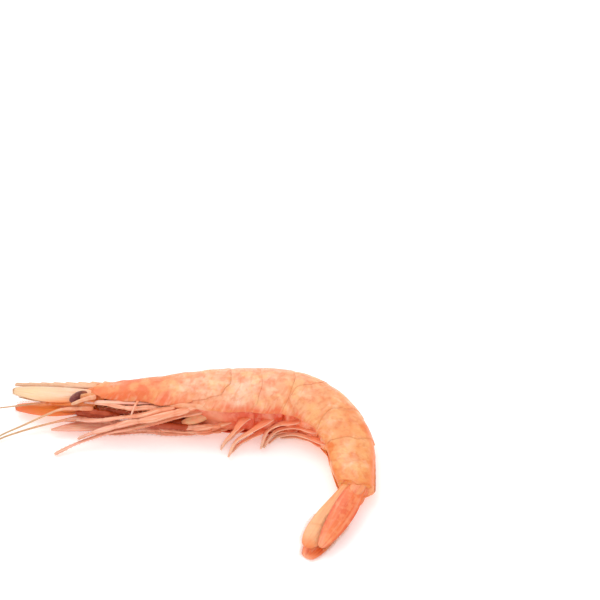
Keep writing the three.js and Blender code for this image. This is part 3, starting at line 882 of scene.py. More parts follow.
def limb(path, half, thick, facing=UP, sides=16, camber=None, crest=None, rim=None, **marks):
    """Rings along a path.

    half(share) is the half width and thick(share, across) the half thickness. camber lifts the
    ring by share and across, and crest(share) widens its far side. Marks are numbers for all of it.
    """
    share = np.linspace(0, 1, len(path))[:, None]
    angle = 2 * np.pi * (np.arange(sides) + 0.5) / sides
    across_share = np.cos(angle)[None, :]
    _, across, out = directions(path, facing)
    side = half(share) * across_share
    if crest is not None:
        side = side - crest(share) * np.clip(-across_share, 0, 1) ** 2
    lift = thick(share, across_share) * np.sin(angle)[None, :]
    if camber is not None:
        lift = lift + camber(share, across_share)
    grid = path[:, None] + across[:, None] * side[..., None] + out[:, None] * lift[..., None]
    grid[..., 2] = np.maximum(grid[..., 2], ON_TABLE)
    edges = bump(np.abs(across_share), 1.0, 0.06) if rim is None else rim(share, across_share)
    return part(grid, along=share, across=across_share, rim=edges, **marks)


def unmarked(share, across):
    """For a limb whose rims have no colour of their own."""
    return 0.0


def leaf(half, stalk, blunt=0.5):
    """The half width of a leaf: broad soon after its stalk and rounded off at the tip."""

    def width(share):
        blade = half * np.sin(np.pi * (0.05 + 0.93 * share) ** 0.8) ** blunt
        return np.maximum(stalk * (1 - share), blade) * rounded(share, 0.01, 0.03)

    return width


def lobe(half, stalk):
    """The half width of a long lobe: it widens evenly from its stalk and ends in a round end."""

    def width(share):
        rise = np.clip(share / 0.6, 0, 1)
        end = np.clip((share - 0.68) / 0.32, 0, 1)
        spread = stalk + (half - stalk) * rise**2 * (3 - 2 * rise)
        return spread * np.sqrt(1 - 0.9 * end**2) * rounded(share, 0.01, 0.03)

    return width


widest = float(leaf(3.0, 1.0)(np.linspace(0, 1, 99)).max())
print("widest part of a leaf of half width 3:", round(widest, 2), "mm")

# %% [markdown]
# ## Bristles
# The edges of blades, scales and swimmerets carry rows of fine bristles. A hair curve system would
# be lost when the model is exported, so each bristle is a tapered three-sided spike in the mesh.
# They are thinner than a pixel here and show as a soft fringe, which is what they are in life.

# %% Bristle meshes
BRISTLE = 0.055  # mm half thickness; real ones are half of that, too fine to show at all
BRISTLE_RINGS = ((0.0, 1.0), (0.5, 0.75), (1.0, 0.2))  # share of the length, and of the thickness


def bristles(roots, ways, lengths):
    """Tapered three-sided spikes from their roots."""
    lengths = np.broadcast_to(lengths, len(roots))[:, None]
    ways = unit(ways)
    side = unit(np.cross(ways, UP + 0.01))
    other = np.cross(ways, side)
    rings = []
    for share, wide in BRISTLE_RINGS:
        for angle in np.radians((0, 120, 240)):
            spread = side * math.cos(angle) + other * math.sin(angle)
            rings.append(roots + ways * lengths * share + BRISTLE * wide * spread)
    points = np.stack(rings, 1).reshape(-1, 3)
    points[:, 2] = np.maximum(points[:, 2], ON_TABLE)
    sides = [(a, (a + 1) % 3, (a + 1) % 3 + 3, a + 3) for a in range(3)]
    one = sides + [tuple(i + 3 for i in face) for face in sides] + [(2, 1, 0), (6, 7, 8)]
    faces = [tuple(9 * n + i for i in face) for n in range(len(roots)) for face in one]
    along = np.tile(np.repeat([share for share, _ in BRISTLE_RINGS], 3), len(roots))
    finish = np.full(len(faces), 1)  # the second finish of the piece
    made = {name: np.zeros(len(points)) for name in MARKS}
    return {**made, "points": points, "faces": faces, "finish": finish, "along": along}


def fringe(path, half, side, start, end, length, lean, seed, spacing=0.28, facing=UP):
    """Bristles along one edge of a blade, leaning towards its tip."""
    rng = np.random.default_rng(seed)
    span = np.linalg.norm(np.diff(path, axis=0), axis=1).sum()
    share = np.linspace(start, end, max(2, int((end - start) * span / spacing)))
    row = share * (len(path) - 1)
    places = np.arange(len(path))
    ways = (path, *directions(path, facing)[:2])
    middle, along, across = (np.stack([np.interp(row, places, w[:, k]) for k in range(3)], -1) for w in ways)
    slope = np.gradient(half(share), share) / span
    outward = unit(side * across - slope[:, None] * along)
    roots = middle + side * across * half(share)[:, None] * 0.97
    way = outward + lean * along + rng.normal(0, 0.10, roots.shape)
    return bristles(roots, way, length * rng.uniform(0.75, 1.1, len(roots)))


print("a bristle has", len(bristles(np.zeros((1, 3)), np.array([[1.0, 0, 0]]), 1.0)["faces"]), "faces")


# %% Bristle finish
def bristle_finish():
    """Bare chitin bristles: pale, dry and matt, with a little pigment at the root."""
    made, tree, shader = start_finish("chitin_bristle", 0.5, 0.1, 0.0, scatter=0.1)
    along = mark(tree, "along", 0.0, 1.0)
    colour = add(tree, "ValToRGB", Fac=along, stops=((0.0, "#dd9462"), (1.0, "#e9bd98")))
    tree.links.new(colour, shader.inputs["Base Color"])
    return made


BRISTLES = bristle_finish()
print("material:", BRISTLES.name)

# %% [markdown]
# ## Head shell and snout
# The head and thorax are covered by one shell, open below. A groove marks the neck, a ridge runs
# above the gills, and a keel along the back grows into the snout: a thin upright blade with teeth on
# its upper edge that point forward. Shell and snout are one hard piece, so they are one object.


# %% Head shell
def head_relief(station, turn, share):
    """The keel in front, the neck groove, the ridge above the gills and a thick rear rim."""
    degrees = np.degrees(turn)
    neck = -25.0 - 6.0 * eased(degrees, (10, 0.0), (95, 1.0))
    groove = 0.24 * bump(station, neck, 1.0) * eased(degrees, (8, 0.0), (30, 1.0), (80, 1.0), (110, 0.0))
    gill_ridge = 0.18 * bump(degrees, 84, 7) * eased(station, (-30, 0.0), (-22, 1.0), (-6, 1.0), (-1, 0.0))
    keel = 0.7 * bump(degrees, 0, 7) * eased(station, (-37, 1.0), (-20, 0.6), (-8, 0.0))
    hollow = 0.20 * bump(degrees, 24, 12) * eased(station, (-37, 1.0), (-12, 0.0))
    return gill_ridge + keel - groove - hollow + 0.06 * bump(share, 0.99, 0.02)


SNOUT = ((-31.0, 4.8, 6.5), (-45.0, 5.3, 6.3), (-58.6, 6.0, 5.9))  # root, bend and tip
SNOUT_TEETH = 8
TOOTH = 0.6


def snout_part():
    """The toothed blade in front. Its path runs forward, so its far side is the upper edge."""

    def depth(share):
        return (1.35 - 0.80 * share) * rounded(share, 0.01, 0.02)

    def teeth(share):
        within = (share * SNOUT_TEETH) % 1.0
        return TOOTH * (1 - 0.8 * share) * np.minimum(within / 0.85, (1 - within) / 0.15)

    def thick(share, across):
        rib = 0.22 * bump(across, 0.25, 0.3)
        body = (0.50 - 0.25 * share) * (0.45 + rib + 0.35 * across * (across > 0))
        return body * rounded(share, 0.01, 0.02)

    path = smooth_path(SNOUT, 0.15)
    edges = lambda share, across: bump(across, 1.0, 0.35) * (1 - 0.6 * share)
    return limb(path, depth, thick, sides=20, crest=teeth, rim=edges, finish=2)


print("teeth on the snout:", SNOUT_TEETH)


# %% Snout finish
def snout_horn():
    """The thin horn of the snout: half clear, beige, with a brown lower edge."""
    made, tree, shader = start_finish("thin_horn", 0.38, 0.4, 0.25, scatter=0.2)
    stops = ((0.0, "#e79f66"), (0.30, "#eab78e"), (1.0, "#dcb08a"))
    colour = add(tree, "ValToRGB", Fac=mark(tree, "along", 0.0, 1.0), stops=stops)
    colour = stain(tree, colour, "#d0713f", 0.4, streaks(tree, 2.0, 14.0, 0.5, 0.65))
    colour = stain(tree, colour, "#ab6238", 0.8, mark(tree, "rim", 0.0, 0.8))
    tree.links.new(colour, shader.inputs["Base Color"])
    return made


SNOUT_HORN = snout_horn()
print("material:", SNOUT_HORN.name)

# %% Head
HEAD_MARGIN = ((-15.5, -5.2, 10.6), (-11.0, -6.0, 11.3), (-7.0, -6.5, 11.4), (-3.6, -7.2, 11.0))
MARGIN_FACING = np.array((0.0, -0.5, 0.86))
MARGIN_MARKS = {"along": -6.0, "across": 0.55, "rim": 0.0, "tone": 0.0, "milk": 0.3}  # as the shell above it


def head_margin():
    """The thickened lower edge at the rear of the head shell."""
    path = smooth_path(HEAD_MARGIN, 0.2)
    half = lambda share: 0.80 * rounded(share, 0.3, 0.2)
    made = limb(path, half, lambda share, across: 0.5 * half(share), MARGIN_FACING)
    for number, value in MARGIN_MARKS.items():
        made[number] = np.full_like(made[number], value)
    return made


head = shell_part("carapace", "head", 147, 0.4, head_relief, 3.0, wall=0.7, droop=1.6)
piece("head_shell", [head, snout_part(), head_margin()], [SHELL, BELLY, SNOUT_HORN], "shell", "carapace")

# %% [markdown]
# ## Chest
# Below the head shell lie the roots of the legs and the mouthparts, and between them red skin that
# covers the gills, painted dark as the shade under the shell. One body inside the shell, ribbed
# crosswise with one rib for each pair of legs, closes the view there, and the troughs between its ribs
# are painted darker still, as shade. In front it goes on as the stout orange bases of the feelers.
# Lumps of flesh fill the hollows between the legs, painted dark as the shade there, and one bare leg
# root shows as a pale plate.


# %% Chest finish
def gill_skin_with_shade():
    """Thin moist gill skin, red-brown, painted darker as shade at low tone, with paler plates elsewhere."""
    made, tree, shader = start_finish("gill_skin_with_shade", 0.42, 0.4, 0.1, ior=1.42, scatter=0.2)
    # the dark stops, at low tone, are painted shade: the troughs between the ribs and the fillings have low
    # tone
    stops = ((0.0, "#8e2c0a"), (0.22, "#ae3e10"), (0.42, "#c65830"), (0.62, "#dc6c3c"), (1.0, "#f0893e"))
    colour = add(tree, "ValToRGB", Fac=wandering(tree, "tone", 0.0, 1.0, 2.4, 0.25), stops=stops)
    higher_tone = mark(tree, "tone", 0.05, 0.25)
    colour = stain(tree, colour, "#ea9a72", 0.45, higher_tone, clouds(tree, 1.6, 0.54, 0.64, 4.0))
    # painted shade: the rim mark darkens the troughs between the ribs
    colour = stain(tree, colour, "#8a3018", 0.5, mark(tree, "rim", 0.0, 1.0))
    tree.links.new(colour, shader.inputs["Base Color"])
    wrinkles = add(tree, "Bump", Height=clouds(tree, 0.7, 0.0, 1.0), Distance=0.10 * MM)
    tree.links.new(wrinkles, shader.inputs["Normal"])
    return made


GILL_SKIN_WITH_SHADE = gill_skin_with_shade()
print("material:", GILL_SKIN_WITH_SHADE.name)

# %% Chest body
CHEST = (-33.5, -1.0)  # stations
RIB_SPACING = 3.1  # mm between the roots of the legs
FACE_LENGTH = 7.0  # mm from the front of the chest to that of the face


def chest_part():
    """The ribbed body inside the head shell."""
    stations = np.linspace(*CHEST, 120)[:, None]
    wall, inside = np.linspace(96, 264, 64), np.linspace(250, 110, 12)
    degrees = np.concatenate([wall, inside])[None, :]
    outside = np.arange(len(degrees[0])) < len(wall)
    ribs = 0.5 * np.cos(2 * np.pi * (stations - CHEST[1]) / RIB_SPACING) * outside
    ends = 2.4 * (bump(stations, CHEST[0], 1.6) + bump(stations, CHEST[1], 0.8))
    inset = np.where(outside, 1.15 + 0.9 * bump(degrees, 180, 34), 3.4)
    grid = skin(stations, np.radians(degrees), ribs - inset - ends)
    grid = grid + 0.16 * ripple(grid, 2.0, 8)[..., None] * to_back(stations)
    # tone is lower and rim higher in the troughs between the ribs, so that they are painted darker as shade
    return part(grid, tone=0.30 + 0.35 * ribs, rim=np.clip(-ribs * 1.6, 0, 1))


def face_part():
    """The front of the head, inside the opening of the shell."""
    share = np.linspace(0, 1, 22)[:, None]
    turn = np.linspace(0, 2 * np.pi, 40, endpoint=False)[None, :]
    grid = skin(CHEST[0] - FACE_LENGTH * share, turn, -0.5 - 2.2 * share**1.8)
    grid = grid + 0.2 * ripple(grid, 1.6, 9)[..., None] * np.array((0.6, 0.3, 0.7))
    return part(grid, tone=0.95 - 0.25 * share)


print("ribs between the legs:", int((CHEST[1] - CHEST[0]) / RIB_SPACING))

# %% Feeler bases and leg plate
FEELER_BASES = (  # path, half widths at root and tip, half thickness
    (((-35.5, -1.8, 7.4), (-39.5, -1.9, 7.6), (-44.0, -1.5, 7.0), (-48.5, -0.9, 6.4)), 1.9, 0.8, 1.0),
    (((-35.5, -1.0, 4.6), (-40.0, -1.4, 4.4), (-46.0, -1.2, 3.8)), 1.8, 0.9, 1.0),
)
LEG_PLATE = ((-12.2, -7.6, 6.0), (-9.2, -7.3, 6.8), (-6.0, -6.3, 7.6), (-3.6, -4.6, 7.8))
PLATE_FACING = np.array((0.0, -0.6, 0.8))
# Lumps of flesh at the roots of the legs, and the jaws, painted dark as the shade in the hollows between the
# legs.
FLESH_FILLINGS_AS_SHADE = (  # path, half width, half thickness and tone
    (((-26.0, -5.4, 4.6), (-18.0, -6.0, 4.4), (-9.0, -7.4, 4.4)), 1.5, 1.6, 0.0),
    (((-41.5, -2.8, 5.2), (-36.0, -3.6, 5.0), (-29.0, -4.6, 5.0)), 1.5, 1.3, 0.0),
    (((-39.5, -3.6, 6.6), (-35.5, -4.6, 6.8), (-31.0, -5.2, 6.6)), 0.9, 0.8, 0.06),
    (((-22.0, -7.6, 5.2), (-15.0, -8.2, 5.2), (-8.0, -9.2, 4.6)), 1.0, 1.2, -0.20),
    (((-34.0, -3.0, 6.0), (-28.0, -3.5, 6.0), (-20.5, -4.1, 5.9)), 0.9, 0.8, 0.25),
)


def feeler_base(points, root, tip, deep):
    """A stout base with one joint, from which a feeler or a scale grows."""
    path = smooth_path(points, 0.25)
    joint = lambda share: 1 - 0.1 * bump(share, 0.4, 0.04)
    half = lambda share: (root + (tip - root) * share) * rounded(share, 0.1, 0.15) * joint(share)
    return limb(path, half, lambda share, across: deep * half(share) / root, tone=0.97)


def filling(points, wide, deep, tone):
    """A lumpy cushion of flesh."""
    path = smooth_path(points, 0.25)
    lumps = lambda share: 1 + 0.07 * np.sin(17 * share + wide) + 0.04 * np.sin(43 * share)
    half = lambda share: wide * lumps(share) * rounded(share, 0.15, 0.2)
    thick = lambda share, across: deep / wide * half(share)
    return limb(path, half, thick, sides=24, tone=tone)


def leg_plate():
    """The bare root of a leg."""
    path = smooth_path(LEG_PLATE, 0.2)
    half = lambda share: 1.5 * np.sin(np.pi * (0.03 + 0.88 * share)) ** 0.6
    plump = lambda share, across: half(share) * (0.62 - 0.14 * bump(across, 0.3, 0.3))
    return limb(path, half, plump, PLATE_FACING, sides=24, tone=1.0, finish=1)


def plate_finish():
    """The bare plate at the root of a leg: beige, with olive showing through and a dark outline."""
    made, tree, shader = start_finish("leg_plate_shell", 0.42, 0.3, 0.25, scatter=0.15)
    cloud = clouds(tree, 1.6, 0.4, 0.6)
    colour = add(tree, "Mix", out=2, data_type="RGBA", i0=cloud, i6="#ee9668", i7="#e6a876")
    colour = stain(tree, colour, "#8a4a2a", 0.8, mark(tree, "rim", 0.1, 0.9))
    tree.links.new(colour, shader.inputs["Base Color"])
    return made


chest_parts = [chest_part(), face_part(), *(feeler_base(*row) for row in FEELER_BASES), leg_plate()]
# the fillings are flesh painted dark as the shade between the legs
chest_parts += [filling(*row) for row in FLESH_FILLINGS_AS_SHADE]
piece("chest", chest_parts, [GILL_SKIN_WITH_SHADE, plate_finish()], "limb", "thorax_underside")

# %% [markdown]
# ## Eyes
# Each eye is a dark cornea of thousands of tiny lenses, on a short orange stalk that can fold down
# into a notch of the shell. Cooking dulls it from black to a purple brown. The lenses are really a
# thirtieth of a millimetre wide; they are drawn four times as large, so that they just break up the
# gloss.


# %% Eye finishes
LENS_WIDTH = 0.12  # mm


def cooked_cornea():
    """Cooked cornea: smooth, wet and dark, purple brown, browner on its upper side."""
    made, tree, shader = start_finish("cooked_cornea", 0.34, 0.4, 0.08, ior=1.36, scatter=0.15)
    stops = ((0.0, "#8a4e52"), (0.35, "#6c2a26"), (0.60, "#642010"), (1.0, "#a04c22"))
    colour = add(tree, "ValToRGB", Fac=wandering(tree, "along", 0.0, 1.0, 1.5, 0.2), stops=stops)
    colour = stain(tree, colour, "#a05a40", 0.5, clouds(tree, 0.9, 0.50, 0.66))
    tree.links.new(colour, shader.inputs["Base Color"])
    lenses = add(tree, "TexVoronoi", Scale=1 / (LENS_WIDTH * MM), Randomness=0.3)
    facets = add(tree, "Bump", Height=lenses, Distance=0.02 * MM, invert=True)
    tree.links.new(facets, shader.inputs["Normal"])
    return made


def eye_stalk_skin():
    """Soft skin of the eye stalk, orange, paler towards the cornea."""
    made, tree, shader = start_finish("eye_stalk_skin", 0.4, 0.4, 0.3, scatter=0.25)
    stops = ((0.0, "#e08440"), (0.7, "#e6955c"), (1.0, "#c9683c"))
    colour = add(tree, "ValToRGB", Fac=mark(tree, "along", 0.0, 1.0), stops=stops)
    colour = stain(tree, colour, "#efb48a", 0.4, clouds(tree, 0.9, 0.48, 0.60))
    tree.links.new(colour, shader.inputs["Base Color"])
    return made


CORNEA, EYE_STALK = cooked_cornea(), eye_stalk_skin()
print("materials:", CORNEA.name, EYE_STALK.name)

# %% Eyes
EYE_LONG, EYE_ROUND = 2.8, 1.35  # half length and half width in mm
EYE_TURN = math.radians(34)  # of its length, from +X towards +Y
EYES = {  # middle of the eye and root of its stalk
    "left": (EYE_LEFT, (-36.2, -0.6, 8.2)),
    "right": ((-40.6, 0.4, 2.3), (-36.4, 0.6, 3.4)),
}


def eye_parts(middle, root):
    """An oval cornea on a stalk with a waist."""
    lengthwise = np.array((math.cos(EYE_TURN), math.sin(EYE_TURN), 0.0))
    middle = np.array(middle)
    path = middle + np.linspace(-EYE_LONG, EYE_LONG, 60)[:, None] * lengthwise
    oval = lambda share: EYE_ROUND * np.sqrt(np.clip(1 - (2 * share - 1) ** 2, 0.0004, 1))
    cornea = limb(path, oval, lambda share, across: oval(share), sides=36)
    halfway = (np.array(root) + middle) / 2 + (0, 0, 0.2)
    neck = smooth_path([root, halfway, middle - 0.3 * lengthwise], 0.15)
    waist = lambda share: (1.15 - 0.25 * bump(share, 0.45, 0.2) + 0.25 * share) * rounded(share, 0.05, 0.2)
    stalk = limb(neck, waist, lambda share, across: waist(share), sides=20, finish=1)
    return [cornea, stalk]


for side, (middle, root) in EYES.items():
    piece("eye_and_stalk_" + side, eye_parts(middle, root), [CORNEA, EYE_STALK], "eye", "eye_" + side)

# %% [markdown]
# ## Antennal scales
# Beside the snout lie two broad leaves that steer the animal. Each has a thick outer edge that ends
# in a spine, a rib along the middle and a thin inner half fringed with bristles. The upper one here
# is pale, thin horn with a brown edge, and the lower one is orange-red.


# %% Scale finish
PALE_LEAF = ((0.0, "#e9935a"), (0.14, "#efae80"), (0.35, "#efc4a0"), (0.75, "#efcb9c"), (1.0, "#e9bd8c"))
DEEP_LEAF = ((0.0, "#fcb056"), (0.45, "#fc9a44"), (1.0, "#fb8842"))  # across it


def scale_horn():
    """Thin smooth horn, half clear. Its tone goes from the pale upper leaf to the deep lower one."""
    made, tree, shader = start_finish("scale_horn", 0.40, 0.4, 0.25, scatter=0.2)
    along = wandering(tree, "along", 0.0, 1.0, 4.0, 0.15)
    pale = add(tree, "ValToRGB", Fac=along, stops=PALE_LEAF)
    across = wandering(tree, "across", -1.0, 1.0, 3.0, 0.3)
    deep = add(tree, "ValToRGB", Fac=across, stops=DEEP_LEAF)
    deep = stain(tree, deep, "#f06a3c", 0.7, mark(tree, "along", 0.6, 0.95))
    colour = add(tree, "Mix", out=2, data_type="RGBA", i0=mark(tree, "tone", 0.0, 1.0), i6=pale, i7=deep)
    milky = streaks(tree, 2.5, 3.0, 0.5, 0.66)
    colour = stain(tree, colour, "#f3d9c6", 0.4, milky, mark(tree, "tone", 0.5, 0.0))
    colour = stain(tree, colour, "#e58a4e", 0.35, streaks(tree, 6.0, 2.0, 0.54, 0.68))
    colour = stain(tree, colour, "#a9683c", 0.85, mark(tree, "rim", 0.15, 0.9))
    tree.links.new(colour, shader.inputs["Base Color"])
    ridges = add(tree, "Bump", Height=streaks(tree, 14.0, 1.0, 0.0, 1.0), Distance=0.06 * MM)
    tree.links.new(ridges, shader.inputs["Normal"])
    return made


SCALE_HORN = scale_horn()
print("material:", SCALE_HORN.name)

# %% Scales
SCALES = {  # path, half width, and tone
    "left": (((-36.9, 0.9, 7.4), (-47.5, 0.7, 8.1), (-58.8, 2.6, 7.6)), 2.85, 0.0),
    "right": (((-37.9, -0.3, 3.9), (-47.5, -0.3, 3.1), (-58.4, 0.9, 2.4)), 2.7, 1.0),
}
SCALE_STALK = 2.3  # mm half width at its root
SCALE_BLUNT = 0.34  # a low power of the sine, so that the leaf stays broad up to its tip


def scale_parts(points, half, tone):
    """A leaf with brown edges and two fringes."""
    path = smooth_path(points, 0.2)
    outline = leaf(half, SCALE_STALK, SCALE_BLUNT)

    def width(share):
        return outline(share) * (1 + 0.03 * np.sin(9 * share + half))

    def thick(share, across):
        rib = 0.24 * bump(across, 0.30, 0.10) + 0.20 * bump(across, 0.92, 0.10)
        furrows = 0.02 * np.cos(26 * across)
        body = (0.42 - 0.24 * share) * (1 - 0.55 * across**2)
        return (body + rib * (1 - share) + furrows) * rounded(share, 0.02, 0.02)

    curl = lambda share, across: 0.30 * (1 - across**2) - 0.25 * np.clip(-across, 0, 1) ** 2
    tip = lambda share: bump(share, 1.0, 0.03)
    upper = lambda share, across: bump(across, -1.0, 0.10) * eased(share, (0.20, 0.0), (0.50, 1.0))
    lower = lambda share, across: bump(across, 1.0, 0.05) * eased(share, (0.6, 0.3), (0.9, 0.8))
    brown = lambda share, across: np.clip(upper(share, across) + lower(share, across) + tip(share), 0, 1)
    leaf_part = limb(path, width, thick, sides=40, camber=curl, rim=brown, tone=tone)
    if not tone:
        share, across = leaf_part["along"], leaf_part["across"]
        leaf_part["tone"] = 0.9 * bump(across, 1.0, 0.40) * bump(share, 0.36, 0.28)
    inner = fringe(path, width, -1, 0.35, 0.97, 1.3, 0.8, seed=11)
    outer = fringe(path, width, 1, 0.90, 0.98, 0.9, 1.2, seed=12)
    return [leaf_part, inner, outer]


for side, row in SCALES.items():
    piece("scale_" + side, scale_parts(*row), [SCALE_HORN, BRISTLES], "scale", "antennal_scale_" + side)

# %% [markdown]
# ## Feelers
# The short feelers have a stalk of three flat joints and fork into two thin whips. The long ones
# have a stout stalk and a whip of many hundred rings that lies along the table. Each ring is a
# little thicker than the gap after it, so the path is cut finer than the rings are long.


# %% Feeler finish
def feeler_chitin():
    """Ringed chitin: orange-pink on the stalk, pale horn along the whip, darker between rings."""
    made, tree, shader = start_finish("ringed_chitin", 0.42, 0.2, 0.2, scatter=0.12)
    stops = ((0.0, "#e58355"), (0.14, "#ec9f78"), (0.24, "#dcab80"), (0.45, "#c9a87e"), (1.0, "#bd976a"))
    colour = add(tree, "ValToRGB", Fac=mark(tree, "along", 0.0, 1.0), stops=stops)
    colour = stain(tree, colour, "#e8823f", 0.9, mark(tree, "tone", 0.0, 1.0))
    colour = stain(tree, colour, "#c08a5c", 0.35, mark(tree, "rim", 0.2, 1.0))
    colour = stain(tree, colour, "#ecc9a4", 0.3, clouds(tree, 1.2, 0.5, 0.62))
    tree.links.new(colour, shader.inputs["Base Color"])
    return made


FEELER = feeler_chitin()
print("material:", FEELER.name)

# %% Short feelers
SHORT_FEELERS = {  # root and end of the stalk, and how far its two whips sway
    "left": ((-38.2, 2.2, 6.3), (-50.0, 1.0, 6.2), ((-7.5, 1.8, -0.6), (-6.5, 1.2, -1.4))),
    "right": ((-38.2, 2.0, 5.0), (-50.0, 0.7, 4.5), ((-7.5, 1.9, 0.2), (-13.5, -1.4, -0.8))),
}
STALK_JOINTS = (0.4, 0.72)  # shares of the stalk
RING = 0.45  # mm long; real ones are finer towards the tip
WHIP_STEP = 0.11  # mm between the points of a whip's path


def ring_wave(path):
    """A wave along a whip: 0 between two rings and 1 on a ring."""
    span = np.linalg.norm(np.diff(path, axis=0), axis=1).sum()
    return lambda share: 0.5 - 0.5 * np.cos(2 * np.pi * share * span / RING)


def ringed(path, root, tip, tone):
    """A thin whip of rings."""
    ring = ring_wave(path)
    taper = lambda share: (root + (tip - root) * share) * rounded(share, 0.01, 0.01)
    half = lambda share: taper(share) * (0.92 + 0.12 * ring(share))
    rim = lambda share, across: 1 - ring(share)
    return limb(path, half, lambda share, across: half(share), sides=8, rim=rim, tone=tone)


def short_feeler_parts(root, end, sways):
    """A jointed stalk and two whips."""
    root, end = np.array(root), np.array(end)
    path = smooth_path([root, (root + end) / 2 + (0, 0, 0.15), end], 0.2)
    joint = lambda share: sum(bump(share, place, 0.025) for place in STALK_JOINTS)
    half = lambda share: (1.1 - 0.4 * share) * (1 - 0.16 * joint(share)) * rounded(share, 0.05, 0.04)
    thick = lambda share, across: half(share) * (0.56 - 0.12 * bump(across, 0, 0.3))
    parts = [limb(path, half, thick, rim=lambda share, across: joint(share), tone=1.0)]
    fork = root + (end - root) * 0.9
    for sway in sways:
        whip = smooth_path([fork, end + np.array(sway) * 0.5, end + sway], WHIP_STEP)
        parts.append(ringed(whip, 0.30, 0.18, tone=0.15))
    return parts


for side, row in SHORT_FEELERS.items():
    piece("short_feeler_" + side, short_feeler_parts(*row), [FEELER], "feeler", "antennule_" + side)

# %% Long feelers
LONG_FEELERS = {
    "left": (
        (-36.2, -3.9, 7.6), (-40.7, -4.2, 7.9), (-45.6, -4.1, 7.2), (-49.5, -5.3, 6.2), (-55.1, -6.9, 4.2),
        (-61.8, -9.2, 2.3), (-70.0, -14.5, 0.8), (-75.5, -23.0, 0.4), (-77.5, -33.0, 0.4),
    ),
    "right": (
        (-36.4, -3.4, 4.4), (-40.7, -4.2, 4.0), (-45.0, -4.6, 3.2), (-51.1, -5.5, 2.0),
        (-56.5, -7.0, 1.35), (-61.9, -9.1, 0.8), (-68.0, -15.0, 0.4), (-72.3, -22.5, 0.4),
        (-72.6, -31.0, 0.4), (-69.0, -39.0, 0.4),
    ),
}  # fmt: skip
STALK_SHARE = 0.2  # of the whole feeler
LAST_JOINT = ((-35.4, -1.9, 10.2), (-38.4, -2.9, 10.3), (-42.2, -4.2, 9.6))  # a flat joint across the eye


def long_feeler_parts(points):
    """A stalk that goes on as one long whip."""
    path = smooth_path(points, WHIP_STEP)
    ring = ring_wave(path)
    on_stalk = lambda share: eased(share, (STALK_SHARE - 0.02, 1.0), (STALK_SHARE, 0.0))
    taper = lambda share: np.interp(share, (0, STALK_SHARE, 1), (0.95, 0.31, 0.18))
    swell = lambda share: 1 - 0.12 * bump(share, 0.07, 0.008) - 0.12 * bump(share, 0.14, 0.006)
    rings = lambda share: 0.94 + 0.12 * ring(share) * (1 - on_stalk(share))
    half = lambda share: taper(share) * swell(share) * rounded(share, 0.02, 0.005) * rings(share)
    rim = lambda share, across: (1 - ring(share)) * (1 - on_stalk(share))
    flat = lambda share, across: half(share) * (1 - 0.3 * on_stalk(share))
    return [limb(path, half, flat, sides=10, rim=rim)]


def flat_joint():
    """The last flat joint of the upper stalk, which lies over the eye."""
    path = smooth_path(LAST_JOINT, 0.2)
    half = lambda share: (0.72 - 0.30 * share) * rounded(share, 0.08, 0.12)
    thick = lambda share, across: 0.30 * (1 - 0.4 * across**2) * rounded(share, 0.08, 0.12)
    made = limb(path, half, thick, facing=np.array((0.1, -0.5, 0.85)), tone=0.0)
    made["along"] = 0.08 + 0.13 * made["along"]  # as orange as a stalk
    return made


for side, points in LONG_FEELERS.items():
    parts = long_feeler_parts(points) + ([flat_joint()] if side == "left" else [])
    piece("long_feeler_" + side, parts, [FEELER], "feeler", "antenna_" + side)

# %% [markdown]
# ## Leg shell
# The legs are tubes of the same horn as the body, but thin as paper and not full, so they dry to
# flat ribbons: pink-orange, paler beside a darker line down the middle, where the walls touch, and
# deeper at the edges and towards the body.


# %% Leg finish
LEG_GROUND = (  # from the root to the tip
    (0.00, "#e8744a"),
    (0.12, "#ee8e60"),
    (0.35, "#f4a682"),
    (0.70, "#f2aa90"),
    (0.90, "#efb8a4"),
    (1.00, "#dfb8a2"),
)


def leg_shell():
    """Thin cooked leg shell, satin, with the pigment in streaks along it."""
    made, tree, shader = start_finish("thin_leg_shell", 0.42, 0.25, 0.22, scatter=0.15)
    along = wandering(tree, "along", 0.0, 1.0, 3.0, 0.15)
    colour = add(tree, "ValToRGB", Fac=along, stops=LEG_GROUND)
    across = add(tree, "Attribute", out=2, attribute_name="across")
    outward = add(tree, "Math", operation="ABSOLUTE", i0=across)
    at_edge = add(tree, "MapRange", Value=outward, From_Min=0.80, From_Max=1.0)
    colour = stain(tree, colour, "#f6c3a0", 0.70, streaks(tree, 1.6, 5.0, 0.46, 0.60))
    colour = stain(tree, colour, "#e57c4c", 0.60, streaks(tree, 2.4, 4.0, 0.50, 0.62))
    colour = stain(tree, colour, "#dc7048", 0.40, at_edge)
    colour = stain(tree, colour, "#d65f38", 0.35, streaks(tree, 7.0, 5.0, 0.56, 0.68))
    colour = stain(tree, colour, "#c25a32", 0.22, mark(tree, "rim", 0.0, 1.0))
    tree.links.new(colour, shader.inputs["Base Color"])
    dried = add(tree, "Bump", Height=streaks(tree, 5.0, 20.0, 0.0, 1.0), Distance=0.06 * MM)
    tree.links.new(dried, shader.inputs["Normal"])
    return made


LEG = leg_shell()
print("material:", LEG.name)

# %% [markdown]
# ## Legs
# A pair of jaw legs and five pairs of walking legs are folded forward under the head. Every leg has
# a short root, a long thigh, a wrist, a hand and a claw, each a little fuller than the skin that
# ties it to the next, and the first three pairs end in small pincers. They lie limp and a bit
# crooked, so each path wanders off its line, always in the same way because the seed is fixed.

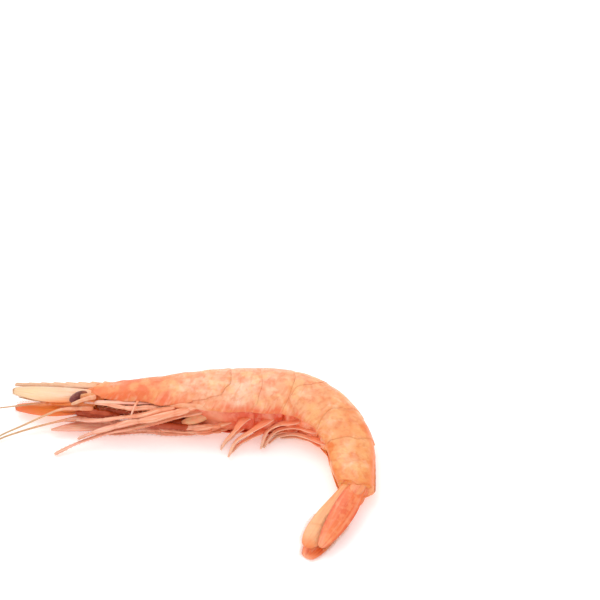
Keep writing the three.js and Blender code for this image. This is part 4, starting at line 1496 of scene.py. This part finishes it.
# %% Leg paths
# name, root's station and distance out, length, sweep and its change, heights, half width, pincer
LEG_ROWS = (
    ("jaw_leg_left", -18, 5.6, 21, -1, -8, 9.2, 8.4, 0.9, False),
    ("jaw_leg_right", -18, 5.6, 21, 1, -6, 2.2, 1.6, 0.8, False),
    ("leg_1_left", -13.5, 6.1, 30.3, 11, -19, 10.4, 3.8, 1.0, True),
    ("leg_1_right", -13.5, 6.0, 31, -1, -1, 4.4, 2.6, 0.9, True),
    ("leg_2_left", -9.5, 7.4, 31, 2, 10.5, 11.0, 3.2, 1.2, True),
    ("leg_2_right", -9.5, 7.2, 27, 0, 4, 3.4, 1.4, 0.9, True),
    ("leg_3_left", -6.2, 6.2, 41.3, 0, 21.5, 9.2, 0.7, 1.1, True),
    ("leg_3_right", -6.2, 7.2, 30, -1, 4, 1.5, 0.6, 0.8, True),
    ("leg_4_left", -3.4, 9.2, 24, -2, -3, 5.0, 2.6, 1.0, False),
    ("leg_4_right", -3.4, 8.4, 22, -2, -2, 2.9, 1.2, 0.8, False),
    ("leg_5_left", -1.0, 9.4, 17, 1, -6, 6.8, 4.2, 1.0, False),
    ("leg_5_right", -1.0, 8.8, 16, 0, -5, 3.9, 3.2, 0.8, False),
)
LEG_STEPS = 6
KNEE_SHARE, KNEE_BEND = 0.45, 4.0  # share of the length, and degrees to one side and then the other
CROOKED = 0.28  # mm off its line


def leg_path(station, out, long, sweep, change, high, low, seed):
    """A path that sweeps forward and down from the root, wandering off its line."""
    place = beside(float(station), out, high)
    points = [place.copy()]
    for step in range(1, LEG_STEPS + 1):
        share = step / LEG_STEPS
        bend = KNEE_BEND if share < KNEE_SHARE else -KNEE_BEND
        turn = math.radians(sweep + change * share + bend)
        place = place - (long / LEG_STEPS) * np.array((math.cos(turn), math.sin(turn), 0.0))
        points.append(np.array((place[0], place[1], high + (low - high) * share**1.2)))
    path = smooth_path(points, 0.25)
    share = np.linspace(0, 1, len(path))[:, None]
    wander = np.stack([0 * path[:, 0], ripple(path, 14.0, seed), 0.5 * ripple(path, 11.0, seed + 50)], -1)
    return path + CROOKED * wander * np.minimum(share * 4, 1)


print("legs:", len(LEG_ROWS))

# %% Leg parts
JOINTS = (0.13, 0.45, 0.66, 0.86)  # shares of the length at which a leg is jointed
INWARD = np.array((3.4, 2.6, 0.0))  # from the root of a leg to where it leaves the body
PINCER = 0.90  # share at which a pincer opens
TWIST = 0.35  # radians that a flat leg turns out of level


def leg_width(broad, long):
    """Half width of a leg, with a waist at each joint."""

    def half(share):
        full = np.maximum(0.36, 1.05 * broad * (1 - 0.60 * share**1.4))
        i = np.searchsorted(JOINTS, share)
        start, end = np.array((0.0, *JOINTS))[i], np.array((*JOINTS, 1.0))[i]
        swell = 0.95 + 0.08 * np.sin(np.pi * (share - start) / (end - start))
        waists = sum(bump(share, joint, 0.6 / long) for joint in JOINTS)
        crumpled = 1 + 0.10 * np.sin(11 * share + long) + 0.06 * np.sin(27 * share + 2 * long)
        return full * swell * crumpled * (1 - 0.10 * waists) * rounded(share, 0.02, 0.03)

    return half


def leg_parts(station, out, long, sweep, change, high, low, broad, pincer, seed):
    """A leg, its root, the second finger of a pincer, and bristles on both edges."""
    path = leg_path(station, out, long, sweep, change, high, low, seed)
    half = leg_width(broad, long)
    turn = TWIST * np.sin(np.linspace(0, 5, len(path)) + seed)[:, None]
    facing = UP * np.cos(turn) + np.array((0.0, -1.0, 0.0)) * np.sin(turn)
    groove = lambda share, across: bump(across, 0.3 * np.sin(6 * share + seed), 0.22)
    flat = lambda share, across: half(share) * (0.44 - 0.16 * groove(share, across))
    bands = lambda share, across: sum(bump(share, joint, 0.35 / long) for joint in JOINTS)
    parts = [limb(path, half, flat, facing, sides=20, rim=bands, tone=seed / 7)]
    inside = path[0] + INWARD + (0, 0, 0.4 * (float(size_at("height", float(station))) - high))
    root = smooth_path([inside, path[0] + INWARD * 0.35, path[4]], 0.25)
    plump = lambda share: broad * 0.95 * rounded(share, 0.2, 0.3)
    parts.append(limb(root, plump, lambda share, across: 0.50 * plump(share) - 0.08 * bump(across, 0, 0.3)))
    parts[-1]["along"] = 0.2 * parts[-1]["along"]
    if pincer:
        _, across, _ = directions(path)
        start = int(len(path) * PINCER)
        finger = path[start:] + across[start:] * np.linspace(0.25, 0.55, len(path) - start)[:, None]
        slim = lambda share: 0.30 * (1 - 0.6 * share) * rounded(share, 0.1, 0.2)
        parts.append(limb(finger, slim, lambda share, across: 0.8 * slim(share), sides=10, rim=bands))
    for side in (-1, 1):
        parts.append(fringe(path, half, side, 0.2, 0.97, 0.8, 1.2, spacing=1.2, seed=seed + side))
    return parts


print("joints of a leg at", JOINTS)

# %% [markdown]
# ## Branches of the jaw legs
# A jaw leg has more than one branch. On the upper one a long outer branch lies close under the edge
# of the shell and a short one crosses it. The lower one carries a broad, flat lobe. They are limbs
# like the rest, of the same piece as their leg.

# %% Branches
SIDE_BRANCH = ((-24.0, -3.4, 10.2), (-24.6, -5.2, 10.7), (-25.7, -8.8, 10.5))
UPPER_BRANCH = (
    (-36.0, -2.7, 8.8),
    (-27.0, -3.0, 9.0),
    (-18.0, -3.2, 9.4),
    (-8.0, -4.4, 9.6),
    (-4.5, -5.4, 9.2),
)
LOWER_LOBE = ((-48.0, -7.0, 2.2), (-40.0, -6.1, 2.6), (-32.0, -5.9, 3.0), (-24.0, -6.2, 3.2))
BRANCH_STAIN = (0.25, 0.7)  # start and range of the colours of a leg that a branch has


def stained_as_leg(made):
    """Gives a branch the colours of its part of the leg."""
    start, reach = BRANCH_STAIN
    made["along"] = start + reach * made["along"]
    return made


def upper_branch():
    """The long outer branch of the upper jaw leg, close under the edge of the shell."""
    path = smooth_path(UPPER_BRANCH, 0.2)
    slim = lambda share: 0.70 * (1 + 0.12 * np.sin(13 * share)) * rounded(share, 0.06, 0.06)
    flat = lambda share, across: slim(share) * (0.5 - 0.15 * bump(across, 0.0, 0.3))
    return stained_as_leg(limb(path[::-1], slim, flat, rim=unmarked, tone=0.3))


def lower_lobe():
    """The broad, flat lobe of the lower jaw leg."""
    path = smooth_path(LOWER_LOBE, 0.2)
    broad = lambda share: 1.95 * np.sin(np.pi * (0.04 + 0.94 * share)) ** 0.7
    flat = lambda share, across: 0.35 * (1 - 0.5 * across**2) - 0.12 * bump(across, 0.2, 0.15)
    return stained_as_leg(limb(path[::-1], broad, flat, sides=24, rim=unmarked, tone=0.6))


def side_branch():
    """The short branch that crosses the upper one."""
    path = smooth_path(SIDE_BRANCH, 0.15)
    slim = lambda share: 0.36 * (1 - 0.3 * share) * rounded(share, 0.1, 0.15)
    return limb(path, slim, lambda share, across: 0.7 * slim(share), rim=unmarked)


BRANCHES = {"jaw_leg_left": (side_branch, upper_branch), "jaw_leg_right": (lower_lobe,)}
print("branches of the jaw legs:", sum(len(made) for made in BRANCHES.values()))

# %% Legs
for seed, (name, *row) in enumerate(LEG_ROWS, 20):
    parts = leg_parts(*row, seed) + [branch() for branch in BRANCHES.get(name, ())]
    piece(name + "_shell", parts, [LEG, BRISTLES], "limb", name)

# %% [markdown]
# ## Swimmerets
# A pair of paddles hangs under each of the first five tail segments. Each has a stout base and two
# thin, curved blades with pale edges, fringed with bristles. At rest they trail forward along the
# belly. The blades are hollowed like an oar, by a groove along the middle of their thickness.


# %% Swimmeret finish
def paddle_chitin():
    """Thin paddle shell: red-orange at the base, pink-beige at the tip, with pale edges."""
    made, tree, shader = start_finish("paddle_chitin", 0.42, 0.25, 0.20, scatter=0.15)
    stops = ((0.0, "#f47444"), (0.30, "#f89062"), (0.60, "#fab48c"), (0.88, "#f6bc9c"), (1.0, "#e6b494"))
    colour = add(tree, "ValToRGB", Fac=wandering(tree, "along", 0.0, 1.0, 2.4, 0.12), stops=stops)
    colour = stain(tree, colour, "#ea7448", 0.45, streaks(tree, 3.0, 5.0, 0.50, 0.64))
    colour = stain(tree, colour, "#f7cfb0", 0.6, mark(tree, "rim", 0.1, 0.9))
    tree.links.new(colour, shader.inputs["Base Color"])
    return made


PADDLE = paddle_chitin()
print("material:", PADDLE.name)

# %% Swimmeret paths
SWIMMERETS = {  # four places from the root to the tip
    "1_left": ((4.4, -8.7, 8.2), (1.6, -11.2, 5.6), (-0.3, -11.8, 3.2), (-1.6, -13.5, 1.5)),
    "1_right": ((3.6, -7.6, 3.4), (1.5, -9.3, 2.4), (-0.2, -10.6, 1.5), (-1.5, -11.9, 0.8)),
    "2_left": ((11.2, -8.5, 8.2), (6.3, -11.1, 6.2), (2.5, -12.3, 3.6), (0.5, -16.0, 1.4)),
    "2_right": ((10.7, -7.6, 3.4), (6.7, -9.7, 2.4), (3.4, -11.4, 1.5), (1.2, -14.1, 0.8)),
    "3_left": ((18.9, -8.5, 8.0), (14.5, -9.4, 7.6), (10.9, -9.8, 4.6), (9.3, -13.2, 1.5)),
    "3_right": ((18.1, -7.9, 3.4), (14.6, -8.2, 2.8), (11.3, -9.4, 1.8), (9.7, -11.9, 0.8)),
    "4_left": ((24.3, -10.6, 6.6), (19.4, -9.2, 6.0), (13.1, -9.4, 4.2), (10.1, -12.8, 1.5)),
    "4_right": ((23.3, -9.5, 3.0), (19.0, -8.6, 2.6), (14.0, -8.8, 1.8), (11.3, -10.8, 0.8)),
    "5_left": ((27.0, -13.7, 5.4), (23.2, -12.3, 5.0), (18.3, -10.0, 4.0), (13.4, -9.9, 2.6)),
    "5_right": ((26.0, -12.7, 2.8), (22.8, -10.8, 2.4), (18.4, -9.3, 1.9), (14.6, -9.0, 1.2)),
}
print("swimmerets:", len(SWIMMERETS))

# %% Swimmerets
INNER_OFFSET = np.array((0.05, 0.55, -0.62))  # from the outer blade to the inner one, at the tip
ROOT_BACK = np.array((1.6, 1.8, 0.0))  # from the first place to where the base leaves the belly
BASE_END, BLADE_START = 0.50, 0.36  # shares of the path


def swimmeret_parts(points, tone, seed):
    """A stout base and two fringed blades."""
    points = np.array(points)
    path = smooth_path([points[0] + ROOT_BACK, *points], 0.2)
    base_end, blade_start = int(len(path) * BASE_END), int(len(path) * BLADE_START)
    stout = lambda share: (1.35 - 0.7 * share) * rounded(share, 0.1, 0.25)
    oval = lambda share, across: 0.5 * stout(share) - 0.12 * bump(across, 0, 0.4)
    base = limb(path[:base_end], stout, oval)
    base["along"] = 0.4 * base["along"]
    parts = [base]
    ends = lambda share: rounded(share, 0.1, 0.05)
    slim = lambda share: (0.66 - 0.40 * share**1.6) * (1 + 0.1 * np.sin(9 * share + seed)) * ends(share)
    hollow = lambda share, across: 0.3 * (1 - 0.35 * share - 0.4 * bump(across, 0.0, 0.35)) * ends(share)
    pale = lambda share, across: bump(np.abs(across), 1.0, 0.16)
    for end, offset in ((1.0, 0.0), (0.9, 1.0)):
        blade = path[blade_start : int(len(path) * end)]
        blade = blade + INNER_OFFSET * offset * np.linspace(0, 1, len(blade))[:, None] ** 0.6
        made = limb(blade, slim, hollow, sides=18, rim=pale, tone=tone)
        made["along"] = 0.3 + 0.7 * made["along"]
        parts.append(made)
        for side in (-1, 1):
            parts.append(fringe(blade, slim, side, 0.3, 0.98, 0.6, 1.6, spacing=0.5, seed=seed + side))
    return parts


for seed, (name, points) in enumerate(SWIMMERETS.items(), 60):
    name = "swimmeret_" + name
    piece(name + "_paddles", swimmeret_parts(points, seed / 70, seed), [PADDLE, BRISTLES], "limb", name)

# %% [markdown]
# ## Tail fan
# The tail ends in a pointed middle piece and two blades on each side, here folded over one another.
# A blade has two long ribs and fine rays, and the outer ones have a seam across, beyond which they
# can bend. Pigment lies in streaks between the ribs and gathers at the tip, under a bristle fringe.


# %% Fan finish
PALE_BLADE = ((0.0, "#f0954e"), (0.40, "#f4ad70"), (0.80, "#f3b27c"), (0.93, "#f0a066"), (1.0, "#ee9050"))
DEEP_BLADE = ((0.0, "#ee7628"), (0.30, "#e85c1a"), (0.75, "#ee6e22"), (0.88, "#fa8a50"), (1.0, "#ffb088"))


def fan_shell():
    """Fan blades: smooth horn with lengthwise rays. Tone goes from beige to red-orange blades."""
    made, tree, shader = start_finish("fan_shell", 0.40, 0.4, 0.25, scatter=0.2)
    along = wandering(tree, "along", 0.0, 1.0, 3.0, 0.10)
    pale = add(tree, "ValToRGB", Fac=along, stops=PALE_BLADE)
    deep = add(tree, "ValToRGB", Fac=along, stops=DEEP_BLADE)
    colour = add(tree, "Mix", out=2, data_type="RGBA", i0=mark(tree, "tone", 0.0, 1.0), i6=pale, i7=deep)
    broad_streaks = streaks(tree, 2.6, 1.4, 0.48, 0.60)
    colour = stain(tree, colour, "#e0522a", 0.60, broad_streaks, mark(tree, "tone", -0.3, 0.6))
    colour = stain(tree, colour, "#f8b084", 0.40, streaks(tree, 3.6, 2.2, 0.54, 0.66))
    fine_streaks = streaks(tree, 9.0, 2.0, 0.56, 0.66)
    colour = stain(tree, colour, "#cf4a24", 0.45, fine_streaks, mark(tree, "tone", -0.2, 0.8))
    colour = stain(tree, colour, "#f6a468", 0.40, clouds(tree, 1.6, 0.50, 0.64, 6.0))
    at_tip, paler = mark(tree, "along", 0.86, 0.97), mark(tree, "tone", 0.95, 0.85)
    near_tip = mark(tree, "along", 0.80, 0.95)
    colour = stain(tree, colour, "#d0602c", 0.30, clouds(tree, 0.8, 0.60, 0.68), near_tip)
    colour = stain(tree, colour, "#f07838", 0.45, at_tip, paler)
    colour = stain(tree, colour, "#c4703c", 0.22, mark(tree, "rim", 0.1, 0.9))
    tree.links.new(colour, shader.inputs["Base Color"])
    rays = add(tree, "Bump", Height=streaks(tree, 12.0, 0.8, 0.0, 1.0), Distance=0.08 * MM)
    tree.links.new(rays, shader.inputs["Normal"])
    return made


FAN = fan_shell()
print("material:", FAN.name)

# %% Fan blades
FAN_START = sum(length for _, length, *_ in STRETCHES[1:-1]) + 0.3
# name, distance to the back and height at root and tip, length, half width and thickness, tilt, tone
FAN_ROWS = (
    ("telson", (1.5, 1.6), (3.6, 2.3), 15.5, 1.8, 0.5, 90, 0.85),
    ("outer_blade_left", (-1.9, -3.1), (5.0, 3.1), 22.6, 3.1, 0.4, 80, 0.0),
    ("inner_blade_left", (0.9, 0.5), (5.8, 3.6), 21.2, 3.2, 0.4, 80, 0.9),
    ("inner_blade_right", (-0.2, -0.3), (2.2, 1.4), 19.5, 2.9, 0.4, 90, 0.8),
    ("outer_blade_right", (-0.9, -2.2), (0.7, 0.4), 24, 3.3, 0.4, 90, 1.0),
)
SEAM = 0.66  # share of the length at which the outer blades can bend
BLADE_STALK = 1.7  # mm half width at its root


def fan_path(back, high, long, tilt):
    """Path of a blade, and the way its flat side faces, turned from the back up to the left."""
    share = np.array((0.0, 0.5, 1.0))
    station = FAN_START + share * long
    heights = high[0] + (high[1] - high[0]) * share
    path = smooth_path(beside(station, -(back[0] + (back[1] - back[0]) * share), heights), 0.2)
    turn = math.radians(tilt)
    return path, to_back(FAN_START + long / 2) * math.cos(turn) + UP * math.sin(turn)


def blade_parts(seamed, back, high, long, half, thick, tilt, tone, seed):
    """A ribbed blade with a fringe on both edges, and the outer ones with a seam."""
    path, facing = fan_path(back, high, long, tilt)
    width = lobe(half, BLADE_STALK) if seamed else leaf(half, BLADE_STALK)
    seam = lambda share, across: seamed * bump(share + 0.05 * across, SEAM, 0.012)
    border = lambda across: bump(np.abs(across), 1.0, 0.04)
    edges = lambda share, across: np.clip(border(across) + 0.5 * seam(share, across), 0, 1)

    def depth(share, across):
        rays = 0.025 * np.cos(34 * across)
        ribs = 0.20 * bump(across, -0.15, 0.09) + 0.16 * bump(across, 0.55, 0.08) + rays
        body = (thick - 0.20 * share) * (1 - 0.55 * across**2)
        full = body + ribs * (1 - 0.7 * share) - 0.20 * seam(share, across)
        return np.maximum(full, 0.06) * rounded(share, 0.02, 0.02)

    curl = lambda share, across: 0.35 * (1 - across**2)
    parts = [limb(path, width, depth, facing, sides=40, camber=curl, rim=edges, tone=tone)]
    for side in (-1, 1):
        parts.append(fringe(path, width, side, 0.55, 0.985, 1.3, 0.9, facing=facing, seed=seed + side))
    return parts


print("fan starts at station", round(FAN_START, 1))

# %% Middle piece and blade roots
MIDDLE_GROOVE = 0.30  # mm deep
SPINES = (0.70, 0.78, 0.86)  # shares of the length at which spines stand


def telson_parts(back, high, long, half, thick, tilt, tone, seed):
    """A long triangle with a groove along the back and a spiny tip."""
    path, facing = fan_path(back, high, long, tilt)
    spines = lambda share: 0.25 * sum(bump(share, place, 0.008) for place in SPINES)
    width = lambda share: (half * (1 - 0.85 * share**2.2) + spines(share)) * rounded(share, 0.02, 0.03)
    groove = lambda across: MIDDLE_GROOVE * bump(across, 0.0, 0.22) - 0.12 * bump(np.abs(across), 0.42, 0.14)
    depth = lambda share, across: (thick * (1 - 0.5 * share) - groove(across)) * rounded(share, 0.02, 0.03)
    parts = [limb(path, width, depth, facing, sides=32, tone=tone)]
    for side in (-1, 1):
        parts.append(fringe(path, width, side, 0.5, 0.97, 0.8, 1.4, facing=facing, seed=seed + side))
    return parts


def blade_root(heights, toward_back, tone):
    """The short stout joint that both blades of a side stand on."""
    station = np.array((-3.0, 0.0, 3.6)) + FAN_START
    path = smooth_path(beside(station, -np.array((0.2, 0.6, toward_back)), np.array(heights)), 0.2)
    half = lambda share: (2.3 - 0.3 * share) * rounded(share, 0.25, 0.35)
    return limb(path, half, lambda share, across: 0.52 * half(share), tone=tone, sides=24)


FAN_FLESH = (  # path, half width, half thickness and tone of the cushions at the root of the fan
    (((33.4, -27.4, 4.6), (33.6, -28.8, 5.3), (33.8, -30.2, 5.0)), 1.3, 0.8, 0.0),
    (((35.8, -27.0, 4.2), (36.3, -29.0, 4.9), (36.1, -31.2, 4.2)), 1.8, 1.0, 0.60),
    (((38.1, -27.0, 3.6), (38.4, -29.2, 4.1), (38.2, -30.6, 3.6)), 1.3, 0.9, 0.25),
)


def fan_flesh(points, wide, deep, tone):
    """A cushion coloured as the root of a blade."""
    made = filling(points, wide, deep, tone)
    made["along"] = 0.15 + 0.3 * made["along"]
    made["rim"] = 0 * made["rim"]
    return made


print("cushions:", len(FAN_FLESH))

# %% Fan
BLADE_ROOTS = {  # heights along the root, how far its end lies towards the back, and tone
    "outer_blade_left": ((5.2, 5.7, 5.4), 0.2, 0.5),
    "outer_blade_right": ((1.9, 1.3, 1.1), 0.6, 0.8),
}
for seed, (name, *row) in enumerate(FAN_ROWS, 80):
    parts = telson_parts(*row, seed) if name == "telson" else blade_parts(name in BLADE_ROOTS, *row, seed)
    if name in BLADE_ROOTS:
        parts.append(blade_root(*BLADE_ROOTS[name]))
    if name == "outer_blade_left":
        parts += [fan_flesh(*cushion) for cushion in FAN_FLESH]
    piece(name + "_shell", parts, [FAN, BRISTLES], "tail_fan", name)

# %% Sizes and end
low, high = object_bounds()
print("finished model in mm:", [round(v / MM, 1) for corner in (low, high) for v in corner])
